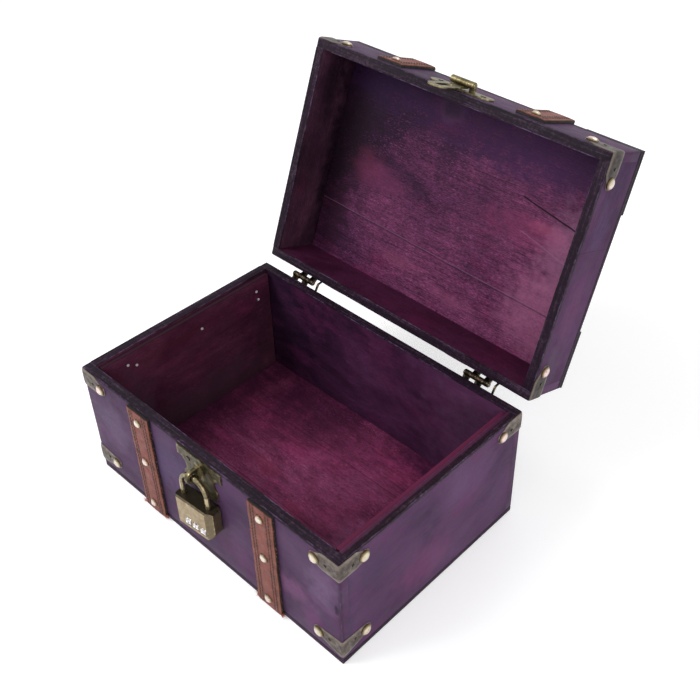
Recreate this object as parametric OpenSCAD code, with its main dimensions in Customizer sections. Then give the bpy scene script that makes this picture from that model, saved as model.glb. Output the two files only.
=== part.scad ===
// Wooden keepsake box with a hinged lid, leather straps, corner brackets,
// a hasp and a three-dial padlock, drawn with the lid standing open.
// Millimetres. X runs along the front, Y to the back, Z up.
// The origin is the middle of the underside.

/* [Body] */
// Width of the box along the front
box_w = 220; // [190:1:300]
// Depth of the box from front to back
box_d = 150; // [130:1:220]
// Height of the body with its bottom board
body_h = 86; // [80:1:130]
// Thickness of the side, front and back panels
wall_t = 6; // [5:0.5:9]
// Thickness of the bottom board
base_t = 4; // [3:0.5:6]
// Thickness of the liner board on each side wall
liner_t = 3.6; // [2:0.2:5]
// Distance of the liner's top edge below the rim
liner_drop = 1.6; // [0.5:0.1:6]
// Gap between each end of a liner and the wall beside it
liner_end_gap = 1.5; // [0.5:0.1:5]

/* [Lid] */
// Height of the lid with its top board
lid_h = 38; // [34:1:60]
// Thickness of the lid's top board
top_t = 4; // [3:0.5:6]
// Angle at which the lid stands open
lid_open = 111; // [100:1:115]
// Gap between the rims of the closed box
rim_gap = 0.2; // [0.1:0.1:1]

/* [Straps and corner patches] */
// Width of a leather strap
strap_w = 20; // [14:0.5:21]
// Thickness of the leather
strap_t = 2.4; // [1.5:0.1:3]
// Distance of a strap's centre line from the box's side
strap_inset = 57; // [55:1:62]
// Distance of a body strap's ends from the rim and the underside
strap_end = 1.5; // [0.5:0.1:4]
// Distance of a lid strap's ends from the lid's rim
lid_strap_end = 4.9; // [4.8:0.1:8]
// Side length of a corner patch on the lid
patch_side = 38; // [30:1:42]
// Radius of the hollow cut in a patch's inner edge
patch_hollow_r = 30; // [22:1:32]
// Thickness of a corner patch
patch_t = 2; // [1:0.1:3]

/* [Corner brackets] */
// Thickness of the bracket sheet
bracket_t = 0.8; // [0.5:0.1:1.2]
// Height of a bracket at its corner
bracket_h = 13.2; // [12:0.2:18]
// Height of a base bracket at its corner
base_bracket_h = 13.6; // [12:0.2:18]
// Height of a base bracket's lower edge above the underside
base_bracket_z = 6.8; // [4:0.1:8]
// Length of a rim bracket arm's full-height part
bracket_web = 12; // [7:0.5:12]
// Length of a base bracket arm's full-height part
base_bracket_web = 3; // [2:0.5:8]
// Distance from the corner to the dome nail
bracket_nail = 17.5; // [16:0.5:20]
// Distance from the corner to the small pin
bracket_pin = 9.5; // [8.5:0.5:10.5]
// Radius of the eye around the dome nail
bracket_eye_r = 4.2; // [3.5:0.1:4.6]
// Height of the dome nail above a base bracket's lower edge
base_eye_v = 7.8; // [6:0.2:11]
// Distance of a rim bracket's dome nail beyond the bracket's middle, away from the rim
rim_eye_off = 1; // [0:0.1:1.4]
// Distance of a bracket's straight edge from the rim
bracket_edge = 0.9; // [0.1:0.1:2]

/* [Nails] */
// Head radius of a dome nail on a bracket
corner_head_r = 3.9; // [2.5:0.1:4.2]
// Head radius of a dome nail on a strap
strap_head_r = 3.2; // [2.5:0.1:4.2]
// Height of a dome head
dome_h = 1.9; // [1:0.1:2.3]
// Shank radius of a dome nail
shank_r = 0.8; // [0.5:0.1:1]
// Depth that shanks reach into the wood
shank_in = 3.2; // [2:0.1:3.6]
// Head radius of the small pins and brads
pin_head_r = 0.9; // [0.7:0.1:1.2]
// Head radius of the flat nails in hinges, hasp and staple
flat_head_r = 1.6; // [1.2:0.1:2]
// Height of pin, brad and flat nail heads
flat_head_h = 0.4; // [0.2:0.1:0.6]
// Shank radius of pins, brads and flat nails
pin_r = 0.5; // [0.3:0.1:0.6]
// Radial gap between a shank and its hole
nail_fit = 0.05; // [0.02:0.01:0.1]

/* [Hinges] */
// Distance of each hinge's middle from the box's side
hinge_inset = 35; // [34:1:35]
// Sideways shift of both hinges
hinge_shift = -1.5; // [-2:0.5:0]
// Distance of the hinge axis behind the back face
hinge_out = 3.9; // [3.4:0.1:4.5]
// Height of the hinge axis above the body's rim
hinge_up = 0.6; // [0.2:0.1:1]
// Thickness of a hinge leaf
leaf_t = 1; // [0.6:0.1:1.2]
// Width of a hinge leaf
leaf_w = 20; // [18:1:20]
// Height of a hinge leaf
leaf_h = 13; // [11:1:18]
// Distance of a leaf's edge from the hinge axis
leaf_off = 4.2; // [3.6:0.1:5]
// Length of the hinge barrel
barrel_l = 18; // [14:1:18]
// Radius of the hinge barrel
barrel_r = 1.9; // [1.7:0.1:2.2]
// Radius of the hinge pin
hinge_pin_r = 0.95; // [0.8:0.05:1.1]
// Radial running fit of a pin in its barrel
pin_fit = 0.06; // [0.03:0.01:0.1]
// Gap between neighbouring knuckles
knuckle_gap = 0.2; // [0.1:0.05:0.4]
// Distance of the stop finger from the hinge's middle
finger_off = 13.8; // [12:0.1:14]
// Width of the stop finger
finger_w = 1.2; // [0.8:0.1:1.4]
// Thickness of the stop finger
finger_t = 0.9; // [0.7:0.1:1]
// Gap between the stop finger and the open lid
finger_gap = 0.15; // [0.1:0.05:0.5]

/* [Hasp] */
// Sideways place of the hasp and staple
hasp_x = 1.2; // [-5:0.1:5]
// Length of the hasp's bar plate
bar_l = 46; // [40:1:56]
// Height of the hasp's bar plate
bar_h = 10; // [9:0.5:12]
// Thickness of the bar, leaf and staple plates
plate_t = 1; // [0.8:0.1:1.2]
// Height of the bar's middle above the lid's rim
bar_z = 9; // [8:0.5:12]
// Distance between the bar's two nails
bar_nail_span = 32; // [28:1:36]
// Distance of the hasp's axis from the lid's front
hasp_out = 4.8; // [4.6:0.1:6]
// Radius of the hasp's barrel
hasp_barrel_r = 2.2; // [2:0.1:2.5]
// Length of the hasp's barrel
hasp_barrel_l = 17; // [16:0.5:20]
// Length of the middle knuckle, which carries the leaf
hasp_mid_l = 8.6; // [8:0.2:10]
// Radius of the hasp's pin
hasp_pin_r = 1.1; // [0.9:0.05:1.2]
// Width of the swinging leaf
hasp_leaf_w = 13.2; // [12:0.2:15]
// Length of the swinging leaf from its axis to its tip
hasp_leaf_l = 30; // [29:0.5:31]
// Width of the leaf's slot
slot_w = 5; // [4.6:0.1:6]
// Length of the leaf's slot
slot_l = 14.5; // [14:0.5:16]
// Width of the metal around the slot's lower end
slot_rim = 4.6; // [4:0.1:5]
// Gap between the closed leaf and the staple plate
leaf_gap = 0.9; // [0.7:0.1:1.2]

/* [Staple] */
// Width of the staple plate's top bar
staple_w = 38; // [34:1:42]
// Height of the staple plate
staple_h = 26.5; // [25:0.5:27]
// Distance of the staple plate's top below the rim
staple_drop = 1.8; // [1:0.1:3]
// Distance between the staple plate's two nails
staple_nail_span = 19; // [16:0.5:20]
// Thickness of the staple's tongue
tongue_t = 2.2; // [1.6:0.1:2.6]
// Height of the tongue
tongue_h = 8.6; // [8:0.1:9]
// Reach of the tongue from the body's front
tongue_out = 10.5; // [10.3:0.1:11]
// Radius of the hole in the tongue
tongue_hole_r = 2.4; // [2.2:0.1:2.6]

/* [Padlock] */
// Width of the lock's case
case_w = 30; // [29:0.2:31]
// Height of the lock's case
case_h = 22.5; // [22:0.5:26]
// Thickness of the lock's case with its back plate
case_t = 10; // [9.6:0.1:10.2]
// Thickness of the back plate
back_plate_t = 1.8; // [1.2:0.1:2]
// Radius of the case's lower corners
case_low_r = 5.5; // [4:0.5:6]
// Width of the bevel on the case's edges
case_bevel = 1.8; // [1:0.1:2.2]
// Width of the bevel on the case's two front corners
case_side_bevel = 3.4; // [2:0.1:3.6]
// Radius of the shackle's rod
shackle_r = 1.5; // [1.2:0.1:1.7]
// Distance between the shackle's legs
shackle_span = 20; // [20:0.2:20.4]
// Height of the shackle above the case, to its centre line
shackle_rise = 18.4; // [17:0.2:20]
// Depth of the shackle's long leg in the case
long_leg = 9; // [8:0.2:9]
// Depth of the shackle's short leg in the case
short_leg = 4.6; // [4:0.2:5]
// Turn of the hanging lock about the upright
lock_yaw = 4; // [0:0.5:4]
// Radius of a dial
dial_r = 4.2; // [4:0.1:4.3]
// Width of a dial
dial_w = 4; // [3.6:0.1:4.2]
// Distance between neighbouring dials
dial_pitch = 6.2; // [6:0.1:6.2]
// Height of the dials' axis above the case's underside
dial_z = 5.8; // [5.7:0.1:6]
// How far a dial stands proud of the case's front
dial_proud = 0.7; // [0.4:0.1:0.9]
// Sideways place of the dials from the case's middle
dial_off = 3; // [0:0.1:3]
// Radius of the dials' spindle
spindle_r = 1.4; // [1.2:0.05:1.5]

/* [Hidden] */
$fn = 48;

// places worked out from the sizes above
half_w = box_w / 2;
half_d = box_d / 2;
strap_x = half_w - strap_inset;
left_hinge_x = hinge_shift + hinge_inset - half_w;
right_hinge_x = hinge_shift - hinge_inset + half_w;
hinge_y = half_d + hinge_out;
hinge_z = body_h + hinge_up;
lid_z = body_h + rim_gap;
top_z = lid_z + lid_h;
inner_w = box_w - 2 * wall_t;
inner_d = box_d - 2 * wall_t;
cut = 0.01;
past = 2;
knuckles = 4;

// dome nail heights on the straps of the body's front
strap_top = body_h - strap_end;
strap_len = strap_top - strap_end;
strap_nail_edge = 7.5;
strap_nail_z = [strap_end + strap_nail_edge, strap_end + strap_len / 2 + past,
    strap_top - strap_nail_edge];
lid_strap_nail_in = 5.9;
lid_strap_nail_z = lid_z + lid_strap_end + lid_strap_nail_in;
top_nail_in = 14;
lid_strap_nail_y = half_d - top_nail_in;

// hasp, staple and lock places
hasp_z = lid_z + bar_z;
hasp_y = -half_d - hasp_out;
leaf_in_y = -half_d - plate_t - leaf_gap;
leaf_tip_z = hasp_z - hasp_leaf_l;
slot_low_z = leaf_tip_z + slot_rim;
tongue_z = slot_low_z + slot_l / 2 - past;
hole_y = -half_d - tongue_out + tongue_h / 2;
staple_top_z = body_h - staple_drop;
staple_nail_drop = 5.8;
bow_fit = 0.2;
bow_drop = tongue_hole_r - shackle_r - bow_fit;
bow_z = tongue_z - bow_drop;
arch_r = shackle_span / 2;
case_top = -shackle_rise;
case_low = case_top - case_h;
case_front = -case_t / 2;
plate_front = case_t / 2 - back_plate_t;
dial_axis_y = case_front - dial_proud + dial_r;
dial_axis_z = case_low + dial_z;
bore_fit = 0.08;
dial_room = 0.3;
spacer_r = spindle_r + 1;

// colours
violet = [0.31, 0.19, 0.34];
dark_violet = [0.14, 0.08, 0.16];
burgundy = [0.34, 0.10, 0.22];
leather = [0.36, 0.16, 0.09];
bronze = [0.42, 0.36, 0.24];
dark_bronze = [0.22, 0.17, 0.12];
cream_gold = [0.80, 0.72, 0.52];
silver = [0.80, 0.80, 0.80];

// ---- frames that pieces are set in ----

// local +Z points out of the named face
module on_front(x, z) { translate([x, -half_d, z]) rotate([90, 0, 0]) children(); }
module on_back(x, z) { translate([x, half_d, z]) rotate([-90, 0, 0]) children(); }
module on_right(y, z) { translate([half_w, y, z]) rotate([0, 90, 0]) children(); }

// turns what is drawn on the closed lid to the open lid
module on_lid() {
    translate([0, hinge_y, hinge_z]) rotate([-lid_open, 0, 0])
        translate([0, -hinge_y, -hinge_z]) children();
}

// the hanging lock's own frame: origin at the top of the bow's centre line
module on_lock() { translate([hasp_x, hole_y, bow_z]) rotate([0, 0, lock_yaw]) children(); }

// an outline in the YZ plane, pushed along X from the middle both ways
module along_x(length) {
    rotate([90, 0, 90]) translate([0, 0, -length / 2]) linear_extrude(length) children();
}

// a rod along X, centred
module rod_x(r, length) { rotate([0, 90, 0]) cylinder(r = r, h = length, center = true); }

// ---- nails ----

module shank(r, standoff, depth = shank_in) {
    translate([0, 0, -depth]) cylinder(r = r, h = depth + standoff);
}

// head is a cap of a sphere, seated at the standoff height
module dome_nail(head_r, standoff) {
    ball_r = (head_r * head_r + dome_h * dome_h) / (2 * dome_h);
    intersection() {
        translate([0, 0, standoff + dome_h - ball_r]) sphere(r = ball_r);
        translate([0, 0, standoff]) cylinder(r = head_r, h = dome_h);
    }
    shank(shank_r, standoff);
}

module flat_nail(head_r, standoff, r = pin_r) {
    translate([0, 0, standoff]) cylinder(r = head_r, h = flat_head_h);
    shank(r, standoff);
}

// every place with a dome nail on a bracket, for one quarter of the box
module each_corner() {
    for (sx = [0, 1], sy = [0, 1]) mirror([sx, 0, 0]) mirror([0, sy, 0]) children();
}
module at_bracket_nails(z) {
    on_front(half_w - bracket_nail, z) children();
    on_right(bracket_nail - half_d, z) children();
}
module at_bracket_pins(z) {
    on_front(half_w - bracket_pin, z) children();
    on_right(bracket_pin - half_d, z) children();
}
rim_eye_v = bracket_h / 2 - rim_eye_off;
top_eye_z = body_h - bracket_edge - bracket_h + rim_eye_v;
base_eye_z = base_bracket_z + base_eye_v;
lid_eye_z = lid_z + bracket_edge + bracket_h - rim_eye_v;
base_pin_z = base_bracket_z + base_bracket_h / 2 + 1;

module at_body_corner_nails() {
    each_corner() at_bracket_nails(top_eye_z) children();
    for (side = [0, 1]) mirror([side, 0, 0]) at_bracket_nails(base_eye_z) children();
}
module at_body_corner_pins() {
    each_corner() at_bracket_pins(top_eye_z) children();
    for (side = [0, 1]) mirror([side, 0, 0]) at_bracket_pins(base_pin_z) children();
}
module at_body_strap_nails() {
    for (x = [-strap_x, strap_x], z = strap_nail_z) on_front(x, z) children();
}
module at_lid_corner_nails() { each_corner() at_bracket_nails(lid_eye_z) children(); }
module at_lid_corner_pins() { each_corner() at_bracket_pins(lid_eye_z) children(); }
module at_lid_strap_nails() {
    for (x = [-strap_x, strap_x]) {
        on_front(x, lid_strap_nail_z) children();
        on_back(x, lid_strap_nail_z) children();
        for (y = [-lid_strap_nail_y, 0, lid_strap_nail_y]) translate([x, y, top_z]) children();
    }
}
patch_nail = 12;
module at_patch_nails() {
    each_corner() translate([half_w - patch_nail, patch_nail - half_d, top_z]) children();
}
module at_staple_nails() {
    for (side = [-1, 1])
        on_front(hasp_x + side * staple_nail_span / 2, staple_top_z - staple_nail_drop) children();
}
module at_hasp_nails() {
    for (side = [-1, 1]) on_front(hasp_x + side * bar_nail_span / 2, hasp_z) children();
}

// two nails in a hinge leaf; up is 1 on the lid and -1 on the body
leaf_nail_x = leaf_w / 2 - 3.5;
leaf_nail_z = leaf_off + leaf_h - 4;
module at_leaf_nails(up) {
    for (x = [left_hinge_x, right_hinge_x], side = [-1, 1])
        on_back(x + side * leaf_nail_x, hinge_z + up * leaf_nail_z) children();
}

// liner brads, as seen on the inside of the left wall
brad_y = [-50, -44, 8, 56, 57];
brad_z = [9.5, 13, 14.5, 10.5, 17.5];
module at_liner_brads() {
    for (side = [0, 1], i = [0 : len(brad_y) - 1]) mirror([side, 0, 0])
        translate([liner_t + wall_t - half_w, brad_y[i], body_h - brad_z[i]])
            rotate([0, 90, 0]) children();
}

// the holes of all shanks that enter the body, and of those that enter the lid
module body_holes() {
    at_body_corner_nails() shank(shank_r + nail_fit, past, shank_in + nail_fit);
    at_body_strap_nails() shank(shank_r + nail_fit, past, shank_in + nail_fit);
    at_body_corner_pins() shank(pin_r + nail_fit, past, shank_in + nail_fit);
    at_staple_nails() shank(pin_r + nail_fit, past, shank_in + nail_fit);
    at_leaf_nails(-1) shank(pin_r + nail_fit, past, shank_in + nail_fit);
}
module lid_holes() {
    at_lid_corner_nails() shank(shank_r + nail_fit, past, shank_in + nail_fit);
    at_lid_strap_nails() shank(shank_r + nail_fit, past, shank_in + nail_fit);
    at_patch_nails() shank(shank_r + nail_fit, past, shank_in + nail_fit);
    at_lid_corner_pins() shank(pin_r + nail_fit, past, shank_in + nail_fit);
    at_hasp_nails() shank(pin_r + nail_fit, past, shank_in + nail_fit);
    at_leaf_nails(1) shank(pin_r + nail_fit, past, shank_in + nail_fit);
}
module brad_holes() {
    brad_in = liner_t + shank_in / 2 + nail_fit;
    at_liner_brads() translate([0, 0, -brad_in]) cylinder(r = pin_r + nail_fit, h = brad_in + past);
}

// ---- wooden body ----

module bottom_board() {
    color(dark_violet) translate([-half_w, -half_d, 0]) cube([box_w, box_d, base_t]);
}

module long_panel(low, high) {
    translate([-half_w, -half_d, low]) cube([box_w, wall_t, high - low]);
}
module short_panel(low, high) {
    translate([half_w - wall_t, wall_t - half_d, low]) cube([wall_t, inner_d, high - low]);
}
module drilled_body() { difference() { children(); body_holes(); brad_holes(); } }

module front_panel() { color(violet) drilled_body() long_panel(base_t, body_h); }
module back_panel() {
    color(violet) drilled_body() mirror([0, 1, 0]) long_panel(base_t, body_h);
}
module right_panel() { color(violet) drilled_body() short_panel(base_t, body_h); }
module left_panel() {
    color(violet) drilled_body() mirror([1, 0, 0]) short_panel(base_t, body_h);
}

module liner() {
    liner_l = inner_d - 2 * liner_end_gap;
    translate([half_w - wall_t - liner_t, -liner_l / 2, base_t])
        cube([liner_t, liner_l, body_h - liner_drop - base_t]);
}
module right_liner() { color(burgundy) difference() { liner(); brad_holes(); } }
module left_liner() { color(burgundy) difference() { mirror([1, 0, 0]) liner(); brad_holes(); } }

// ---- leather on the body ----

module front_strap(x) {
    color(leather) difference() {
        translate([x - strap_w / 2, -half_d - strap_t, strap_end]) cube([strap_w, strap_t, strap_len]);
        at_body_strap_nails() cylinder(r = shank_r + nail_fit, h = strap_t + past);
    }
}
module front_strap_left() { front_strap(-strap_x); }
module front_strap_right() { front_strap(strap_x); }

// ---- corner brackets ----

// one arm seen flat: the corner is at u = 0, its lower edge at v = 0
module bracket_arm(h, web, eye_v, pin_v) {
    difference() {
        union() {
            square([web, h]);
            polygon([[web, 0], [web, h],
                [bracket_nail, eye_v + bracket_eye_r], [bracket_nail, eye_v - bracket_eye_r]]);
            translate([bracket_nail, eye_v]) circle(r = bracket_eye_r);
        }
        translate([bracket_nail, eye_v]) circle(r = shank_r + nail_fit);
        translate([bracket_pin, pin_v]) circle(r = pin_r + nail_fit);
    }
}

// the bracket of the front right corner, standing on the height z
module bracket(z, h, web, eye_v, pin_v) {
    color(bronze) translate([half_w, -half_d, z]) {
        mirror([1, 0, 0]) rotate([90, 0, 0])
            linear_extrude(bracket_t) bracket_arm(h, web, eye_v, pin_v);
        rotate([90, 0, 90]) linear_extrude(bracket_t) bracket_arm(h, web, eye_v, pin_v);
        translate([0, -bracket_t, 0]) cube([bracket_t, bracket_t, h]);
    }
}
module rim_bracket() {
    bracket(body_h - bracket_edge - bracket_h, bracket_h, bracket_web, rim_eye_v, rim_eye_v);
}
module base_bracket() {
    bracket(base_bracket_z, base_bracket_h, base_bracket_web, base_eye_v, base_pin_z - base_bracket_z);
}
module lid_bracket() {
    lid_eye_v = bracket_h - rim_eye_v;
    bracket(lid_z + bracket_edge, bracket_h, bracket_web, lid_eye_v, lid_eye_v);
}
module bracket_front_right() { rim_bracket(); }
module bracket_front_left() { mirror([1, 0, 0]) rim_bracket(); }
module bracket_back_right() { mirror([0, 1, 0]) rim_bracket(); }
module bracket_back_left() { mirror([1, 0, 0]) mirror([0, 1, 0]) rim_bracket(); }
module base_bracket_right() { base_bracket(); }
module base_bracket_left() { mirror([1, 0, 0]) base_bracket(); }

// ---- staple plate on the body's front ----

// sizes of the plate's outline, measured down from its top edge
lobe_r = 6;
lobe_x = 8.2;
bar_drop = 7;
waist_drop = 12.6;
waist_cut_r = 5.6;
waist_cut_x = 17.4;

module staple_outline() {
    difference() {
        union() {
            translate([-staple_w / 2, -bar_drop]) square([staple_w, bar_drop]);
            translate([-lobe_x - lobe_r, lobe_r - staple_h])
                square([2 * (lobe_x + lobe_r), staple_h - lobe_r - bar_drop + cut]);
            translate([-lobe_x, -staple_h]) square([2 * lobe_x, 2 * lobe_r]);
            for (side = [-1, 1]) translate([side * lobe_x, lobe_r - staple_h]) circle(r = lobe_r);
        }
        for (side = [-1, 1]) {
            translate([side * waist_cut_x, -waist_drop]) circle(r = waist_cut_r);
            translate([side * staple_nail_span / 2, -staple_nail_drop]) circle(r = pin_r + nail_fit);
        }
    }
}

module staple_plate() {
    tongue_root = -half_d - cut;
    color(bronze) union() {
        on_front(hasp_x, staple_top_z) linear_extrude(plate_t) staple_outline();
        translate([hasp_x, 0, 0]) along_x(tongue_t) difference() {
            union() {
                translate([hole_y, tongue_z - tongue_h / 2])
                    square([tongue_root - hole_y, tongue_h]);
                translate([hole_y, tongue_z]) circle(r = tongue_h / 2);
            }
            translate([hole_y, tongue_z]) circle(r = tongue_hole_r);
        }
    }
}

// ---- hinges ----

// a point of each knuckle's middle along the barrel, counted from the left
function knuckle_x(i) = (i + 0.5) * barrel_l / knuckles - barrel_l / 2;

// leaf, knuckles and the strips between them, about the hinge axis, for the body's side
module hinge_leaf(first) {
    knuckle_l = barrel_l / knuckles - knuckle_gap;
    difference() {
        union() {
            translate([-leaf_w / 2, -hinge_out, -leaf_off - leaf_h]) cube([leaf_w, leaf_t, leaf_h]);
            for (i = [first : 2 : knuckles - 1]) translate([knuckle_x(i), 0, 0]) {
                rod_x(barrel_r, knuckle_l);
                along_x(knuckle_l) polygon([[-hinge_out, -leaf_off - cut],
                    [-hinge_out + leaf_t, -leaf_off - cut],
                    [barrel_r / 2, -barrel_r / 2], [0, 0], [-barrel_r / 2, barrel_r / 2]]);
            }
        }
        rod_x(hinge_pin_r + pin_fit, barrel_l + past);
    }
}

// the space that the open lid's back panel takes, about the hinge axis
module open_lid_back() {
    reach = 4 * hinge_out;
    rotate([-lid_open, 0, 0]) translate([-reach, -hinge_out - reach + finger_gap, -reach])
        cube([2 * reach, reach, 3 * reach]);
}

// bent finger beside the leaf: it rises past the axis, turns back, and the open lid rests on it
module stop_finger() {
    foot = leaf_off + leaf_h / 2;
    wing_h = leaf_h / 2;
    knee_z = hinge_out / 2;
    tip_y = hinge_out + 0.3;
    root_y = leaf_t - hinge_out;
    translate([leaf_w / 2 - cut, -hinge_out, -leaf_off - leaf_h])
        cube([finger_off + finger_w / 2 - leaf_w / 2 + cut, leaf_t, wing_h]);
    translate([finger_off, 0, 0]) difference() {
        along_x(finger_w) polygon([[-hinge_out, -foot - wing_h], [root_y, -foot - wing_h],
            [root_y, -leaf_off], [finger_t / 2, knee_z - finger_t],
            [tip_y, knee_z - finger_t / 2], [tip_y, hinge_out],
            [-finger_t / 2, knee_z], [-hinge_out, -leaf_off]]);
        open_lid_back();
        translate([0, 0, finger_t]) along_x(finger_w + past) polygon([[0, knee_z - finger_t],
            [tip_y + past, knee_z - finger_t / 2], [tip_y, 2 * hinge_out], [-finger_t, 2 * hinge_out],
            [-finger_t, knee_z]]);
    }
}

module body_hinge_leaf(x) {
    color(dark_bronze) difference() {
        translate([x, hinge_y, hinge_z]) {
            hinge_leaf(0);
            stop_finger();
        }
        at_leaf_nails(-1) translate([0, 0, -cut]) cylinder(r = pin_r + nail_fit, h = leaf_t + past);
    }
}
module hinge_leaf_left() { body_hinge_leaf(left_hinge_x); }
module hinge_leaf_right() { body_hinge_leaf(right_hinge_x); }

module lid_hinge_leaf(x) {
    color(dark_bronze) on_lid() difference() {
        translate([x, hinge_y, hinge_z]) mirror([0, 0, 1]) hinge_leaf(1);
        at_leaf_nails(1) translate([0, 0, -cut]) cylinder(r = pin_r + nail_fit, h = leaf_t + past);
    }
}
module lid_hinge_leaf_left() { lid_hinge_leaf(left_hinge_x); }
module lid_hinge_leaf_right() { lid_hinge_leaf(right_hinge_x); }

// pin with an upset head past each end of the barrel
module barrel_pin(r, head_r, length) {
    head_l = 0.5;
    rod_x(r, length + 2 * head_l);
    for (side = [-1, 1]) translate([side * (length + head_l) / 2, 0, 0]) rod_x(head_r, head_l);
}
module hinge_pin(x) {
    color(dark_bronze) translate([x, hinge_y, hinge_z])
        barrel_pin(hinge_pin_r, (hinge_pin_r + barrel_r) / 2, barrel_l);
}
module hinge_pin_left() { hinge_pin(left_hinge_x); }
module hinge_pin_right() { hinge_pin(right_hinge_x); }

// ---- nails of the body ----

module body_dome_nails() {
    color(cream_gold) {
        at_body_corner_nails() dome_nail(corner_head_r, bracket_t);
        at_body_strap_nails() dome_nail(strap_head_r, strap_t);
    }
}
module body_bracket_pins() {
    color(dark_bronze) at_body_corner_pins() flat_nail(pin_head_r, bracket_t);
}
module liner_brads() {
    color(silver) at_liner_brads() {
        cylinder(r = pin_head_r, h = flat_head_h);
        translate([0, 0, -liner_t - shank_in / 2]) cylinder(r = pin_r, h = liner_t + shank_in / 2);
    }
}
module staple_nails() { color(dark_bronze) at_staple_nails() flat_nail(flat_head_r, plate_t); }
module hinge_nails() { color(dark_bronze) at_leaf_nails(-1) flat_nail(flat_head_r, leaf_t); }

// ---- wooden lid ----

module drilled_lid() { on_lid() difference() { children(); lid_holes(); } }
board_z = top_z - top_t;
module lid_front_panel() { color(violet) drilled_lid() long_panel(lid_z, board_z); }
module lid_back_panel() { color(violet) drilled_lid() mirror([0, 1, 0]) long_panel(lid_z, board_z); }
module lid_right_panel() { color(violet) drilled_lid() short_panel(lid_z, board_z); }
module lid_left_panel() { color(violet) drilled_lid() mirror([1, 0, 0]) short_panel(lid_z, board_z); }
module lid_top_board() {
    color(violet) drilled_lid() translate([-half_w, -half_d, board_z]) cube([box_w, box_d, top_t]);
}

// ---- trim of the lid ----

module lid_bracket_front_right() { on_lid() lid_bracket(); }
module lid_bracket_front_left() { on_lid() mirror([1, 0, 0]) lid_bracket(); }
module lid_bracket_back_right() { on_lid() mirror([0, 1, 0]) lid_bracket(); }
module lid_bracket_back_left() { on_lid() mirror([1, 0, 0]) mirror([0, 1, 0]) lid_bracket(); }

// square leather patch with a round hollow towards the middle of the lid
module patch() {
    color(leather) translate([half_w, -half_d, top_z]) difference() {
        translate([-patch_side, 0, 0]) cube([patch_side, patch_side, patch_t]);
        translate([-patch_side, patch_side, -cut]) cylinder(r = patch_hollow_r, h = patch_t + past);
        translate([-patch_nail, patch_nail, -cut]) cylinder(r = shank_r + nail_fit, h = patch_t + past);
    }
}
module lid_patch_front_right() { on_lid() patch(); }
module lid_patch_front_left() { on_lid() mirror([1, 0, 0]) patch(); }
module lid_patch_back_right() { on_lid() mirror([0, 1, 0]) patch(); }
module lid_patch_back_left() { on_lid() mirror([1, 0, 0]) mirror([0, 1, 0]) patch(); }

// strap over the lid from rim to rim, bent round both top edges
module lid_strap(x) {
    strap_low = lid_z + lid_strap_end;
    color(leather) on_lid() difference() {
        translate([x, 0, 0]) along_x(strap_w) difference() {
            union() {
                translate([-half_d - strap_t, strap_low])
                    square([box_d + 2 * strap_t, top_z - strap_low]);
                translate([-half_d, top_z - cut]) square([box_d, strap_t + cut]);
                for (side = [-1, 1]) translate([side * half_d, top_z]) circle(r = strap_t);
            }
            translate([-half_d, strap_low - past]) square([box_d, top_z - strap_low + past]);
        }
        at_lid_strap_nails() translate([0, 0, -cut]) cylinder(r = shank_r + nail_fit, h = strap_t + past);
    }
}
module lid_strap_left() { lid_strap(-strap_x); }
module lid_strap_right() { lid_strap(strap_x); }

module lid_dome_nails() {
    color(cream_gold) on_lid() {
        at_lid_corner_nails() dome_nail(corner_head_r, bracket_t);
        at_lid_strap_nails() dome_nail(strap_head_r, strap_t);
        at_patch_nails() dome_nail(strap_head_r, patch_t);
    }
}
module lid_bracket_pins() {
    color(dark_bronze) on_lid() at_lid_corner_pins() flat_nail(pin_head_r, bracket_t);
}
module hasp_nails() { color(dark_bronze) on_lid() at_hasp_nails() flat_nail(flat_head_r, plate_t); }
module lid_hinge_nails() { color(dark_bronze) on_lid() at_leaf_nails(1) flat_nail(flat_head_r, leaf_t); }

// ---- hasp ----

outer_knuckle_l = (hasp_barrel_l - hasp_mid_l) / 2 - knuckle_gap;
module hasp_bar() {
    tab_t = 1.2;
    color(bronze) on_lid() difference() {
        union() {
            on_front(hasp_x, hasp_z) linear_extrude(plate_t) difference() {
                union() {
                    square([bar_l - bar_h, bar_h], center = true);
                    for (side = [-1, 1]) translate([side * (bar_l - bar_h) / 2, 0]) circle(r = bar_h / 2);
                }
                for (side = [-1, 1]) translate([side * bar_nail_span / 2, 0]) circle(r = pin_r + nail_fit);
            }
            for (side = [-1, 1])
                translate([hasp_x + side * (hasp_barrel_l - outer_knuckle_l) / 2, hasp_y, hasp_z]) {
                    rod_x(hasp_barrel_r, outer_knuckle_l);
                    along_x(outer_knuckle_l) translate([0, hasp_barrel_r - tab_t])
                        square([hasp_out - cut, tab_t]);
                }
        }
        translate([hasp_x, hasp_y, hasp_z]) rod_x(hasp_pin_r + pin_fit, hasp_barrel_l + past);
    }
}
module hasp_pin() {
    color(dark_bronze) on_lid() translate([hasp_x, hasp_y, hasp_z])
        barrel_pin(hasp_pin_r, (hasp_pin_r + hasp_barrel_r) / 2, hasp_barrel_l);
}

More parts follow.
